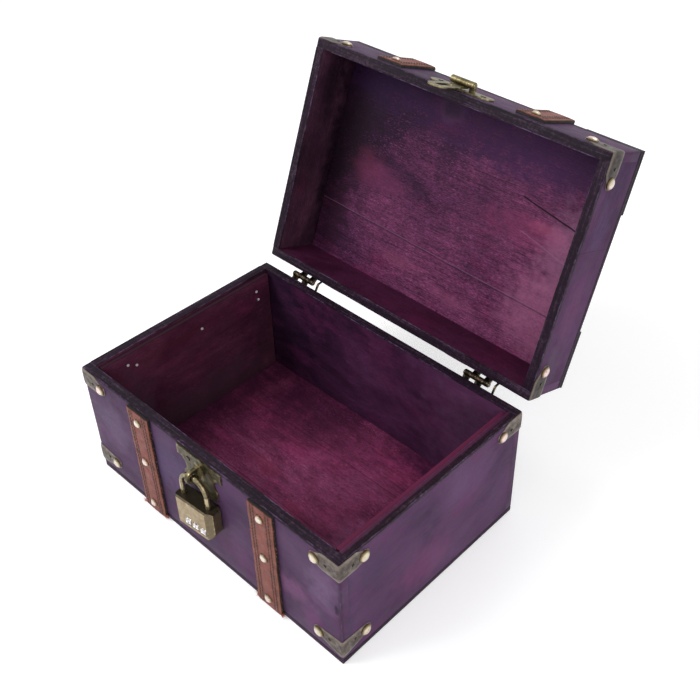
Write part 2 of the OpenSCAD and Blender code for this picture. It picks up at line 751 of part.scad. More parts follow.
// long loop with a slot, seen from the front, with its tip at the origin
module leaf_outline() {
    tip_r = hasp_leaf_w / 2;
    loop_l = slot_rim + slot_l + slot_rim;
    difference() {
        union() {
            translate([0, tip_r]) circle(r = tip_r);
            translate([0, loop_l - tip_r]) circle(r = tip_r);
            translate([-tip_r, tip_r]) square([hasp_leaf_w, loop_l - hasp_leaf_w]);
            translate([-hasp_mid_l / 2, loop_l - tip_r])
                square([hasp_mid_l, hasp_leaf_l - loop_l + tip_r]);
        }
        for (v = [slot_rim + slot_w / 2, slot_rim + slot_l - slot_w / 2])
            translate([0, v]) circle(r = slot_w / 2);
        translate([-slot_w / 2, slot_rim + slot_w / 2]) square([slot_w, slot_l - slot_w]);
    }
}
module hasp_leaf() {
    color(bronze) on_lid() difference() {
        union() {
            translate([hasp_x, leaf_in_y, leaf_tip_z]) rotate([90, 0, 0])
                linear_extrude(plate_t) leaf_outline();
            translate([hasp_x, hasp_y, hasp_z]) rod_x(hasp_barrel_r, hasp_mid_l);
        }
        translate([hasp_x, hasp_y, hasp_z]) rod_x(hasp_pin_r + pin_fit, hasp_mid_l + past);
    }
}

// ---- padlock ----

// the pin that keeps the long leg in the case, and the flat on the leg that it slides along
stop_pin_r = 0.6;
stop_pin_drop = 1.8;
stop_pin_bite = 0.6;
stop_pin_x = shackle_r - stop_pin_bite + stop_pin_r - arch_r;
shackle_lift = 6.5;
module at_stop_pin() {
    translate([stop_pin_x, plate_front, case_top - stop_pin_drop]) rotate([90, 0, 0]) children();
}
stop_pin_l = plate_front - case_front - 1;

module shackle() {
    notch = 1;
    flat_h = shackle_lift + 2 * stop_pin_r + 2 * bore_fit;
    color(bronze) on_lock() {
        translate([0, 0, -arch_r]) rotate([90, 0, 0])
            rotate_extrude(angle = 180) translate([arch_r, 0]) circle(r = shackle_r);
        difference() {
            translate([-arch_r, 0, case_top - long_leg])
                cylinder(r = shackle_r, h = long_leg - case_top - arch_r);
            translate([stop_pin_x - stop_pin_r - bore_fit, -past,
                case_top - stop_pin_drop + stop_pin_r + bore_fit - flat_h])
                cube([past, 2 * past, flat_h]);
        }
        difference() {
            translate([arch_r, 0, case_top - short_leg])
                cylinder(r = shackle_r, h = short_leg - case_top - arch_r);
            translate([arch_r - shackle_r - past, -past, case_top - short_leg + notch])
                cube([past + notch / 2, 2 * past, notch]);
        }
    }
}

// front view of the case, its underside at v = 0
module case_outline() {
    shoulder = case_bevel;
    inner = case_w / 2 - case_low_r;
    polygon([[-case_w / 2, case_low_r], [case_w / 2, case_low_r],
        [case_w / 2, case_h - shoulder], [case_w / 2 - shoulder, case_h],
        [shoulder - case_w / 2, case_h], [-case_w / 2, case_h - shoulder]]);
    translate([-inner, 0]) square([2 * inner, case_low_r + cut]);
    for (side = [-1, 1]) translate([side * inner, case_low_r]) circle(r = case_low_r);
}

// the whole case as a solid, its edges bevelled from above and from the side
module case_solid() {
    b = case_bevel;
    c = case_side_bevel;
    w = case_w / 2;
    t = case_t / 2;
    intersection() {
        translate([0, t, case_low]) rotate([90, 0, 0]) linear_extrude(case_t) case_outline();
        translate([0, 0, case_low]) linear_extrude(case_h)
            polygon([[c - w, -t], [w - c, -t], [w, c - t], [w, t - b / 2], [w - b / 2, t],
                [b / 2 - w, t], [-w, t - b / 2], [-w, c - t]]);
        translate([0, 0, case_low]) along_x(case_w)
            polygon([[b / 2 - t, 0], [t, 0], [t, case_h],
                [b / 2 - t, case_h], [-t, case_h - b / 2], [-t, b / 2]]);
    }
}
module back_slab(from) {
    translate([-case_w, from, case_low - past]) cube([2 * case_w, case_t, case_h + 2 * past]);
}

rivet_r = 0.9;
rivet_x = case_w / 2 - 3;
rivet_in = 2;
rivet_up = 1.5;
module at_rivets() {
    for (x = [-rivet_x, rivet_x])
        translate([x, case_t / 2, dial_axis_z + chamber_r + rivet_up]) rotate([90, 0, 0]) children();
}

chamber_w = 2 * dial_pitch + dial_w + dial_room;
chamber_r = dial_r + dial_room;

// sideways place of a dial, counted from the middle one
function dial_x(i) = dial_off + i * dial_pitch;

module padlock_case() {
    window_w = dial_w + dial_room;
    color(bronze) on_lock() difference() {
        case_solid();
        back_slab(plate_front);
        translate([-arch_r, 0, case_top - long_leg - bore_fit])
            cylinder(r = shackle_r + bore_fit, h = long_leg + past);
        translate([arch_r, 0, case_top - short_leg - bore_fit])
            cylinder(r = shackle_r + bore_fit, h = short_leg + past);
        translate([dial_off - chamber_w / 2, dial_axis_y - spacer_r - bore_fit, dial_axis_z - chamber_r])
            cube([chamber_w, case_t, 2 * chamber_r]);
        for (i = [-1 : 1]) translate([dial_x(i), dial_axis_y, dial_axis_z]) rod_x(chamber_r, window_w);
        translate([dial_off, dial_axis_y, dial_axis_z])
            rod_x(spindle_r + nail_fit, spindle_l + 2 * nail_fit);
        at_rivets() cylinder(r = rivet_r + nail_fit, h = back_plate_t + rivet_in + nail_fit);
        at_stop_pin() translate([0, 0, -cut])
            cylinder(r = stop_pin_r + nail_fit, h = stop_pin_l + nail_fit + cut);
    }
}
module shackle_stop_pin() {
    color(silver) on_lock() at_stop_pin() cylinder(r = stop_pin_r, h = stop_pin_l);
}
module padlock_back_plate() {
    color(dark_bronze) on_lock() difference() {
        intersection() {
            case_solid();
            back_slab(plate_front);
        }
        at_rivets() translate([0, 0, -past])
            cylinder(r = rivet_r + nail_fit, h = back_plate_t + 2 * past);
    }
}
module padlock_rivets() {
    color(silver) on_lock() at_rivets() cylinder(r = rivet_r, h = back_plate_t + rivet_in);
}

spindle_l = chamber_w + 3;
module dial_spindle() {
    color(silver) on_lock() translate([dial_off, dial_axis_y, dial_axis_z]) rod_x(spindle_r, spindle_l);
}
module dial_spacers() {
    spacer_l = dial_pitch - dial_w - dial_room;
    color(dark_bronze) on_lock() for (side = [-1, 1])
        translate([dial_x(side / 2), dial_axis_y, dial_axis_z]) difference() {
            rod_x(spacer_r, spacer_l);
            rod_x(spindle_r + nail_fit, spacer_l + past);
        }
}

// ten flats with a groove between them round the dial
module dial(i) {
    numbers = 10;
    groove_r = 0.35;
    color(silver) on_lock() translate([dial_x(i), dial_axis_y, dial_axis_z]) difference() {
        rod_x(dial_r, dial_w);
        rod_x(spindle_r + bore_fit, dial_w + past);
        for (k = [0 : numbers - 1]) rotate([(k + 0.5) * 360 / numbers, 0, 0])
            translate([0, 0, dial_r]) rod_x(groove_r, dial_w + past);
    }
}
module dial_left() { dial(-1); }
module dial_middle() { dial(0); }
module dial_right() { dial(1); }

bottom_board();
front_panel();
back_panel();
left_panel();
right_panel();
left_liner();
right_liner();
front_strap_left();
front_strap_right();
bracket_front_left();
bracket_front_right();
bracket_back_left();
bracket_back_right();
base_bracket_left();
base_bracket_right();
staple_plate();
hinge_leaf_left();
hinge_leaf_right();
hinge_pin_left();
hinge_pin_right();
body_dome_nails();
body_bracket_pins();
liner_brads();
staple_nails();
hinge_nails();
lid_front_panel();
lid_back_panel();
lid_left_panel();
lid_right_panel();
lid_top_board();
lid_bracket_front_left();
lid_bracket_front_right();
lid_bracket_back_left();
lid_bracket_back_right();
lid_patch_front_left();
lid_patch_front_right();
lid_patch_back_left();
lid_patch_back_right();
lid_strap_left();
lid_strap_right();
lid_hinge_leaf_left();
lid_hinge_leaf_right();
hasp_bar();
hasp_pin();
lid_dome_nails();
lid_bracket_pins();
hasp_nails();
lid_hinge_nails();
hasp_leaf();
shackle();
padlock_case();
padlock_back_plate();
padlock_rivets();
shackle_stop_pin();
dial_spindle();
dial_spacers();
dial_left();
dial_middle();
dial_right();
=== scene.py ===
"""A painted wooden keepsake box with its lid open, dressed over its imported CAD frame.

Lengths in the builders are millimetres in the frame's axes: X along the front, Y to the
back, Z up. Pieces of the lid are built on the closed box and then turned with it.
"""

import math
import random
from functools import cached_property, partialmethod, reduce

import bmesh
import bpy
from mathutils import Matrix, Vector

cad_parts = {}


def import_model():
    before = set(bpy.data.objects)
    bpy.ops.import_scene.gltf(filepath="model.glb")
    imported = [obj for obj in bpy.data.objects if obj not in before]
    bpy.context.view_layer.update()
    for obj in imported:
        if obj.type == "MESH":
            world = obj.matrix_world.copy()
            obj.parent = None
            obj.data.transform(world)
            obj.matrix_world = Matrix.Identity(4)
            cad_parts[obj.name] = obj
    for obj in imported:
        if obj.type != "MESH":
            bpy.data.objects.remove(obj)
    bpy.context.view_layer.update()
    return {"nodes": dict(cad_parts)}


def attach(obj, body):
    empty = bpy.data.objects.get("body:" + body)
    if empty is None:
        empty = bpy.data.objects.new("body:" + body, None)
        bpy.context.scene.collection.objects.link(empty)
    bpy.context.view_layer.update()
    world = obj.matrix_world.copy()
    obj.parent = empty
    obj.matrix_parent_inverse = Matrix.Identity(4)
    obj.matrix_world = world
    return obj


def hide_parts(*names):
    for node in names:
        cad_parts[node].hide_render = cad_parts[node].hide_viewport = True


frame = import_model()

# ---- sizes

HALF_W, HALF_D = 110.0, 75.0
BODY_H, WALL, BASE = 86.0, 6.0, 4.0
INNER_W, INNER_D = HALF_W - WALL, HALF_D - WALL
LID_LOW, LID_TOP = 86.2, 124.2
LID_BOARD_LOW = LID_TOP - BASE
LINER, LINER_DROP, LINER_D = 3.6, 1.6, INNER_D - 1.5
HINGE_Y, HINGE_Z, LID_OPEN = 78.9, 86.6, 111.0
STRAP_X, STRAP_W, STRAP_T = 53.0, 20.0, 2.4
STRAP_END, LID_STRAP_END = 1.5, 4.9
PATCH, PATCH_HOLLOW, PATCH_T, PATCH_SEAM = 38.0, 30.0, 2.0, 2.2
BRACKET_T, BRACKET_H, BASE_BRACKET_H, FOLD_R = 0.8, 13.2, 13.6, 0.6
BRACKET_WEB, BASE_WEB, BRACKET_NAIL, EYE_R = 12.0, 3.0, 17.5, 4.2
BRACKET_EDGE, RIM_EYE, BASE_BRACKET_Z, BASE_EYE = 0.9, 5.6, 6.8, 7.8
RIM_LOW = BODY_H - BRACKET_EDGE - BRACKET_H
CORNER_HEAD_R, STRAP_HEAD_R, DOME_H = 3.9, 3.2, 1.9
# how far the nails stand from the straps' ends, the lid's front and back, and its corners
STRAP_NAIL, STRAP_MID_NAIL, LID_STRAP_NAIL = 7.5, 43.5, 5.9
TOP_NAIL, PATCH_NAIL = 14.0, 12.0
LOCK_X, LOCK_Y, BOW_Z, LOCK_YAW = 1.2, -81.2, 74.35, 4.0
DIAL_R, DIAL_PITCH, DIGITS, DIGIT_SIZE = 4.2, 6.2, 10, 2.5
DIAL_OFF, DIAL_Y, DIAL_Z = 3.0, -1.5, -35.1

TO_METRES = Matrix.Scale(0.001, 4)

# where the bodies' pieces are placed, in metres: the lid turns from closed to open
HINGE = Matrix.Translation(Vector((0, HINGE_Y, HINGE_Z)) * 0.001)
LID = HINGE @ Matrix.Rotation(math.radians(-LID_OPEN), 4, "X") @ HINGE.inverted()
BOW = Matrix.Translation(Vector((LOCK_X, LOCK_Y, BOW_Z)) * 0.001)
LOCK = BOW @ Matrix.Rotation(math.radians(LOCK_YAW), 4, "Z")
PLACES = {"box": Matrix.Identity(4), "lid": LID}

# ---- colours


def rgb(code):
    """A hex colour as the linear colour that Blender's sockets take."""
    parts = [int(code[i : i + 2], 16) / 255 for i in (0, 2, 4)]
    return [p / 12.92 if p <= 0.04045 else ((p + 0.055) / 1.055) ** 2.4 for p in parts] + [1.0]


def tones(codes):
    return [rgb(code) for code in codes.split()]


def shade(tone, times, more=0.0):
    """A darker or paler form of a colour."""
    return [min(1.0, c * times + more) for c in tone[:3]] + [1.0]


# each paint: dark, middle and pale tone, and the tone of its stains
OUTER = tones("37233d 4b3351 583f5b 592f55")
OUTER_SIDE = tones("3a2442 543557 5f4264 622e59")
LID_SIDE = tones("341c3c 4b2a4d 56355a 59254f")
FLOOR = tones("461a35 6e2e4f 8a466b 923863")
INNER_SIDE = tones("321324 4c2337 65354a 682649")
INNER_DARK = tones("220f23 401f3b 573053 58254a")
LID_INSIDE = tones("2a132b 4c2442 673354 682248")
LID_BLACK = tones("23131e 402536 5a3749 56253a")
LID_BACK = tones("280a1e 3e1630 50223f 521838")
RIM = tones("080508 170f17 443543")
# the paler violet of the arrises: worn paint and a painted highlight
ARRIS = rgb("6c5876")
MARK_DEPTH = 30.0

# ---- materials


class Nodes:
    """Short calls for the nodes of a material or a world."""

    def __init__(self, owner):
        owner.use_nodes = True
        self.tree = owner.node_tree

    def put(self, socket, value):
        """Links a socket, or sets its value. A string is a hex colour."""
        if isinstance(value, bpy.types.NodeSocket):
            self.tree.links.new(value, socket)
        else:
            socket.default_value = rgb(value) if isinstance(value, str) else value

    def node(self, kind, *values, **more):
        """A new node, its inputs filled in order or by name (a capital, and _ for a space).

        Names in small letters are the node's own settings."""
        node = self.tree.nodes.new("ShaderNode" + kind)
        for key, value in more.items():
            if key[0].islower():
                setattr(node, key, value)
        for socket, value in zip(node.inputs, values):
            self.put(socket, value)
        for key, value in more.items():
            if key[0].isupper():
                self.put(node.inputs[key.replace("_", " ")], value)
        return node

    def vector(self, operation, a, b=(0, 0, 0)):
        node = self.node("VectorMath", a, operation=operation)
        self.put(node.inputs["Scale" if operation == "SCALE" else 1], b)
        return node.outputs["Value" if operation in ("LENGTH", "DOT_PRODUCT") else "Vector"]

    def work(self, operation, *values):
        """Works the values together from left to right."""
        return reduce(lambda a, b: self.node("Math", a, b, operation=operation).outputs[0], values)

    times = partialmethod(work, "MULTIPLY")
    plus = partialmethod(work, "ADD")
    minus = partialmethod(work, "SUBTRACT")
    either = partialmethod(work, "MAXIMUM")

    def abs(self, value):
        return self.work("ABSOLUTE", value, 0.0)

    def seen(self):
        """1 for the rays that may show the plain background, 0 for those that light the box."""
        path = self.node("LightPath").outputs
        kinds = ("Is Camera Ray", "Is Glossy Ray", "Is Transmission Ray")
        return self.either(*(path[kind] for kind in kinds))


class Paint(Nodes):
    """A material under construction."""

    def __init__(self, name, roughness=0.5, metallic=0.0, specular=0.5):
        self.material = bpy.data.materials.new(name)
        super().__init__(self.material)
        self.bsdf = self.tree.nodes["Principled BSDF"].inputs
        self.bsdf["Roughness"].default_value = roughness
        self.bsdf["Metallic"].default_value = metallic
        self.bsdf["Specular IOR Level"].default_value = specular

    @cached_property
    def mm(self):
        """The piece's own coordinates in millimetres."""
        return self.vector("SCALE", self.node("TexCoord").outputs["Object"], 1000.0)

    @cached_property
    def xyz(self):
        return list(self.node("SeparateXYZ", self.mm).outputs)

    def facing(self, index):
        """How far the surface faces along the object's own axis."""
        normal = self.node("TexCoord").outputs["Normal"]
        return self.node("SeparateXYZ", normal).outputs[index]

    # the leather's cut edges, and on nail heads how much painted shade they get
    @cached_property
    def cut_edge(self):
        return self.node("Attribute", attribute_name="cut_edge").outputs["Fac"]

    def step(self, value, low, high):
        """From 0 at low to 1 at high, smooth between them, and low may be the larger."""
        ends = {"To_Min": 1.0, "To_Max": 0.0} if low > high else {}
        node = self.node("MapRange", Value=value, From_Min=min(low, high), From_Max=max(low, high),
                         interpolation_type="SMOOTHSTEP", **ends)
        return node.outputs["Result"]

    def noise(self, size, detail=3.0, rough=0.55, stretch=(1, 1, 1), distort=0.0, shift=(0, 0, 0)):
        """Cloudy noise whose features are about size millimetres, longer where stretched."""
        spread = [1.0 / (size * s) for s in stretch]
        place = self.vector("MULTIPLY", self.vector("ADD", self.mm, shift), spread)
        node = self.node("TexNoise", Vector=place, Scale=1.0, Detail=detail, Roughness=rough,
                         Distortion=distort)
        return node.outputs["Fac"]

    def shake(self, amount, *noise):
        """Noise about 0 that spans about amount."""
        return self.times(self.minus(self.noise(*noise), 0.5), amount)

    def cells(self, size, feature="F1"):
        place = self.vector("MULTIPLY", self.mm, [1 / size] * 3)
        node = self.node("TexVoronoi", feature=feature, Vector=place, Scale=1.0)
        return node.outputs["Distance"]

    @cached_property
    def ragged(self):
        return self.minus(self.noise(8.0, 5, 0.65), 0.5)

    @cached_property
    def grain(self):
        """The grain that thins the listed stains."""
        return self.plus(0.62, self.times(self.step(self.noise(2.0, 6, 0.78), 0.40, 0.56), 0.38))

    def spot(self, centre, radii, ragged=0.35):
        """1 at a place, fading to 0 at the given radii, with a ragged edge."""
        offset = self.vector("SUBTRACT", self.mm, centre)
        far = self.vector("LENGTH", self.vector("DIVIDE", offset, radii))
        return self.step(self.plus(far, self.times(self.ragged, ragged * 4)), 1.0, 0.25)

    def mix(self, amount, a, b, kind="MIX"):
        node = self.node("Mix", amount, data_type="RGBA", blend_type=kind)
        self.put(node.inputs[6], a)
        self.put(node.inputs[7], b)
        return node.outputs[2]

    def ramp(self, value, places, colours):
        """Spreads colours over places from 0 to 1: hex codes, colours or plain grey levels."""
        if isinstance(colours, str):
            colours = tones(colours)
        node = self.node("ValToRGB", value)
        elements = node.color_ramp.elements
        while len(elements) < len(places):
            elements.new(0.5)
        for element, place, colour in zip(elements, places, colours):
            element.position = place
            element.color = grey(colour) if isinstance(colour, float) else colour
        return node.outputs[0]

    def bump(self, height, depth, base=None):
        """Raises the surface by up to depth millimetres where height is 1."""
        node = self.node("Bump", Strength=1.0, Distance=depth * 0.001, Height=height)
        if base is not None:
            self.put(node.inputs["Normal"], base)
        return node.outputs[0]

    def done(self, colour, normal=None, roughness=None):
        for name, value in (("Base Color", colour), ("Normal", normal), ("Roughness", roughness)):
            if value is not None:
                self.put(self.bsdf[name], value)
        return self.material


def grey(level):
    return (level, level, level, 1)


class Weather:
    """Masks of worn paint over grain that runs along one axis, shared by a board's faces."""

    def __init__(self, p, grain, seed):
        shift = (seed * 37.0, seed * 91.0, seed * 53.0)

        def noise(size, times, detail, rough, distort=0.0, shift=shift):
            along = [1.0, 1.0, 1.0]
            along[grain] = times
            return p.noise(size, detail, rough, along, distort, shift)

        self.clouds = noise(46.0, 1.4, 4, 0.6, 0.5)
        self.stains = p.step(noise(24.0, 2.0, 6, 0.66, shift=shift[::-1]), 0.50, 0.66)
        self.mottle = noise(5.0, 1.9, 6, 0.72)
        self.streaks = noise(1.3, 24.0, 3, 0.6, 0.35)
        self.speckle = noise(0.55, 4.0, 3, 0.6)
        where = noise(16.0, 1.6, 3, 0.6)
        self.light = p.times(p.step(self.speckle, 0.58, 0.68), p.step(where, 0.44, 0.62))
        self.deep = p.times(p.step(self.speckle, 0.43, 0.34), p.step(where, 0.58, 0.42))
        line = p.abs(p.minus(noise(2.6, 34.0, 1, 0.55, 0.2, (0, 0, 0)), 0.5))
        self.lines = p.step(line, 0.016, 0.004)


def stained(p, weather, paint, worn, lean=None):
    """Thin hand-wiped paint.

    worn is how far grain and fibres show through, and lean tips it pale one way."""
    dark, _, pale, stain = paint
    value = weather.clouds
    if lean is not None:
        value = p.plus(value, p.vector("DOT_PRODUCT", p.mm, lean))
    colour = p.ramp(value, (0.28, 0.50, 0.72), paint)
    colour = p.mix(p.times(weather.stains, 0.5), colour, stain)
    for amount, mask, places, levels in (
        (0.25 + 0.60 * worn, weather.mottle, (0.34, 0.50, 0.66), (0.62, 0.98, 1.40)),
        (0.12 + 0.60 * worn, weather.streaks, (0.32, 0.54, 0.76), (0.60, 1.0, 1.30)),
        (0.05 + 0.85 * worn, weather.speckle, (0.34, 0.50, 0.66), (0.56, 1.0, 1.60)),
    ):
        colour = p.mix(amount, colour, p.ramp(mask, places, levels), "MULTIPLY")
    for amount, mask, tone in (
        (0.04 + 0.42 * worn, weather.light, shade(pale, 2.0, 0.01)),
        (0.04 + 0.36 * worn, weather.deep, shade(dark, 0.45)),
        (0.10 + 0.45 * worn, weather.lines, shade(dark, 0.6)),
    ):
        colour = p.mix(p.times(mask, amount), colour, tone)
    return colour


def marks(p, colour, index, place, rows):
    """Stains on faces that lie at one place along an axis, thinned by the grain.

    Each row has two coordinates and two radii along the face, a tone and a strength."""
    for a, b, radius_a, radius_b, tone, amount in rows:
        centre, radii = [a, b], [radius_a, radius_b]
        centre.insert(index, place)
        radii.insert(index, MARK_DEPTH)
        colour = p.mix(p.times(p.spot(centre, radii), p.grain, amount), colour, tone)
    return colour


def wood(name, outside, inside, grain, seed, rim, closed, extras=None, lean=None, worn=0.35):
    """Painted board of a tray. rim and closed are the heights of its open and closed sides."""
    p = Paint(name, roughness=0.55, specular=0.10)
    weather = Weather(p, grain, seed)
    outer = stained(p, weather, outside, 0.10)
    inner = stained(p, weather, inside, worn, lean)
    if extras:
        outer, inner = extras(p, outer, inner)
    inward = 1.0 if closed > rim else -1.0
    x, y, z = p.abs(p.xyz[0]), p.abs(p.xyz[1]), p.xyz[2]

    def walls(low, high, shift=0.0):
        """Two masks by the depth below the outside: of the sides, and of the front and back."""
        return [p.step(p.plus(v, shift), half - low, half - high)
                for v, half in ((x, HALF_W), (y, HALF_D))]

    wander = p.shake(4.0, 4.0, 5, 0.7)
    fine = p.shake(0.9, 1.4, 3)
    shell = p.step(z, closed - inward * 0.6, closed - inward * 1.2)
    in_tray = p.times(shell, *walls(WALL - 0.9, WALL - 0.3))
    at_side, at_end = walls(2.4, 0.8, wander)
    level = p.either(*(p.step(p.plus(z, wander), side + way * 2.8, side + way)
                       for side, way in ((rim, inward), (closed, -inward))))
    edges = p.either(p.times(at_side, at_end, 0.35), p.times(at_side, level),
                     p.times(at_end, level))
    # the thin board that closes the tray shows dark all round its edge
    board_face = closed - inward * BASE
    closing = p.step(z, board_face - inward * 0.5, board_face + inward * 0.1)
    flank = p.either(*walls(0.5, 0.2))
    on_rim = p.step(z, rim + inward * 1.1, rim + inward * 0.15)
    edges = p.either(edges, p.times(closing, flank, 0.8), p.times(on_rim, 0.97))
    if extras is side_extras:
        # the right wall's rim is bare of dark paint where red paint ran over it
        ran = p.times(p.step(p.xyz[0], HALF_W - 3.2, HALF_W - 4.4),
                      p.step(p.xyz[0], INNER_W - 1, INNER_W))
        edges = p.times(edges, p.minus(1.0, p.times(ran, 0.75)))
    colour = p.mix(in_tray, outer, inner)
    patches = p.times(p.plus(p.noise(2.4, 6, 0.75), weather.streaks), 0.5)
    colour = p.mix(p.times(edges, 0.93), colour, p.ramp(patches, (0.40, 0.52, 0.64), RIM))
    # paler violet along the outer arrises: paint worn thin there, and a painted highlight
    side_band, end_band = walls(0.55, 0.2, fine)
    near_rim = p.step(p.plus(z, fine), rim + inward * 0.7, rim + inward * 0.3)
    within = map(p.times, walls(WALL + 0.3, WALL, fine), walls(WALL - 0.6, WALL - 0.3, fine))
    worn_lit_arris = p.either(p.times(side_band, end_band),
                     p.times(near_rim, p.either(side_band, end_band, *within)))
    broken = p.times(p.step(p.noise(19.0, 3), 0.44, 0.60),
                     p.step(p.noise(3.1, 5, 0.75), 0.36, 0.60))
    colour = p.mix(p.times(worn_lit_arris, p.times(broken, 0.62)), colour, ARRIS)
    normal = p.bump(weather.mottle, 0.16, p.bump(weather.streaks, 0.08))
    return p.done(colour, normal, p.ramp(weather.mottle, (0.3, 0.7), (0.46, 0.66)))


def seam(p, index, place, half, colour, line="080508", strength=0.85, tilt=0.0):
    """A dark joint between two boards at one place along an axis, a little aslant."""
    off = p.minus(p.plus(p.xyz[index], p.shake(0.8, 16.0, 2)), place)
    if tilt:
        off = p.minus(off, p.times(p.xyz[0], tilt))
    mask = p.times(p.step(p.abs(off), half, half * 0.3), strength)
    return p.mix(mask, colour, line)


def scratch(p, colour, start, end, half, tone, strength):
    """A straight mark on a board that lies level, from one place to another."""
    slope = (end[1] - start[1]) / (end[0] - start[0])
    x, y, _ = p.xyz
    along = p.times(p.minus(x, start[0]), -slope)
    off = p.abs(p.plus(p.minus(y, start[1]), along, p.shake(0.9, 6.0, 2)))
    mask = p.times(p.step(off, half, half * 0.3), p.step(x, start[0], start[0] + 4),
                   p.step(x, end[0], end[0] - 4), strength)
    return p.mix(mask, colour, tone)


def board_ends(p, outer, strength):
    """The ends of the front and back boards, which show faintly beside the side board."""
    for place in (INNER_D, -INNER_D):
        outer = seam(p, 1, place, 0.35, outer, strength=strength)
    return outer


def side_extras(p, outer, inner):
    outer = marks(p, board_ends(p, outer, 0.07), 0, 110, [
        (-71, 40, 7, 60, "39304c", 0.62), (-50, 62, 20, 22, "43324f", 0.5),
        (-10, 24, 34, 20, "7a3a66", 0.45), (30, 62, 30, 18, "6d4a74", 0.4),
        (52, 30, 20, 26, "50385a", 0.4),
    ])
    inner = marks(p, inner, 0, -104, [
        (-40, 70, 30, 14, "5a2238", 0.5), (30, 30, 34, 24, "2b1220", 0.5),
    ])
    # the right wall's rim: red paint ran over its inner half
    run = p.times(p.step(p.xyz[2], BODY_H - 1.2, BODY_H - 0.3),
                  p.step(p.xyz[0], HALF_W - 6.2, HALF_W - 5.6))
    return p.mix(p.times(run, 0.8), outer, "4c1f3a"), inner


def liner_extras(p, outer, inner):
    inner = marks(p, inner, 0, -100, [
        (-20, 74, 70, 16, "46172a", 0.5), (0, 12, 100, 34, "402d39", 0.75),
        (-52, 40, 24, 40, "50384a", 0.7), (60, 44, 18, 60, "2a1722", 0.6),
    ])
    # the boards' top ends: nearly black on the left, red paint on the right
    top = BODY_H - LINER_DROP
    end = p.times(p.step(p.xyz[2], top - 0.5, top - 0.2), 0.85)
    tone = p.mix(p.step(p.xyz[0], -1.0, 1.0), "1f0c17", "5a1f3c")
    return outer, p.mix(end, inner, tone)


def front_extras(p, outer, inner):
    outer = marks(p, outer, 1, -75, [
        (72, 34, 20, 13, "7d5076", 0.55), (88, 20, 14, 14, "74406f", 0.5),
        (25, 26, 26, 18, "6c3f68", 0.45), (-30, 55, 34, 26, "5b4d74", 0.4),
        (-88, 50, 22, 26, "6d5c78", 0.45), (97, 54, 16, 26, "7a5f82", 0.5),
    ])
    chip = p.spot((107, -75, 47), (2.6, 4, 5.0), 0.8)
    return p.mix(p.times(chip, 0.85), outer, "1c1424"), inner


def back_extras(p, outer, inner):
    return outer, marks(p, inner, 1, 69, [
        (84, 44, 50, 70, "5c3c58", 0.55), (-92, 60, 30, 60, "2a1d31", 0.4),
    ])


def floor_extras(p, outer, inner):
    for place in (-22.0, 31.0):
        inner = seam(p, 1, place, 0.4, inner, "1d0a16", 0.55)
    return outer, marks(p, inner, 2, 4, [
        (43.5, -20, 3.4, 2.6, "1c0716", 0.8), (60, -34, 50, 30, "742c4c", 0.45),
        (-45, 38, 55, 28, "36132a", 0.6), (70, 62, 60, 16, "301130", 0.6),
        (-20, -50, 60, 16, "6a2a48", 0.4), (94, -60, 16, 14, "a03a5c", 0.35),
        (78, -30, 46, 50, "8e6288", 0.5), (-97, 0, 18, 90, "3c1630", 0.6),
        (-30, -6, 20, 9, "8a2c40", 0.3), (10, -20, 14, 7, "8a2c44", 0.3),
    ])


def lid_board_extras(p, outer, inner):
    inner = marks(p, inner, 2, 120, [
        (60, -6, 50, 15, "7a3256", 0.45), (-60, 4, 34, 14, "6d3254", 0.45),
        (-100, -14, 44, 74, "1b1019", 0.95), (-60, -64, 90, 30, "281436", 0.9),
        (60, -54, 86, 32, "381d42", 0.85), (0, -50, 70, 24, "31183a", 0.78),
        (72, -12, 22, 6, "a84c6c", 0.30), (86, -7, 18, 8, "a05074", 0.30),
        (-72, -2, 18, 16, "7a3454", 0.3), (92, -2, 30, 46, "9a6688", 0.55),
        (-27, 49, 26, 7, "7c3f5c", 0.5), (19, 57, 26, 6, "7c4260", 0.5),
        (82, 38, 36, 40, "9a5c7e", 0.6), (-92, 44, 20, 34, "2a1424", 0.7),
        (-19, -56, 14, 11, "5a3858", 0.5), (-19, -57, 11, 8, "1b0f20", 0.75),
    ])
    inner = seam(p, 1, 34.9, 0.9, inner, "1b0d20", 0.5, tilt=0.024)
    inner = seam(p, 1, 34.2, 0.5, inner, "94708c", 0.22, tilt=0.024)
    inner = scratch(p, inner, (46, -25.8), (94, -17.5), 0.8, "10060e", 0.95)
    inner = scratch(p, inner, (51, -6), (90, 3), 0.5, "94708c", 0.3)
    return outer, inner


def lid_side_extras(p, outer, inner):
    inner = marks(p, inner, 0, -104, [
        (0, 121, 110, 14, "0d070f", 0.92), (-52, 104, 36, 16, "160a16", 0.85),
    ])
    nail = p.spot((HALF_W, -30, 106.5), (1.1, 1.1, 1.1), 0.0)
    outer = marks(p, p.mix(nail, outer, "1a1216"), 0, 110, [
        (-64, 104, 34, 24, "341f42", 0.7), (-30, 104, 20, 12, "57406a", 0.4),
        (20, 104, 34, 14, "6f3e66", 0.45), (56, 100, 18, 14, "584a5e", 0.5),
    ])
    return board_ends(p, seam(p, 1, -17.0, 0.3, outer, strength=0.45), 0.08), inner


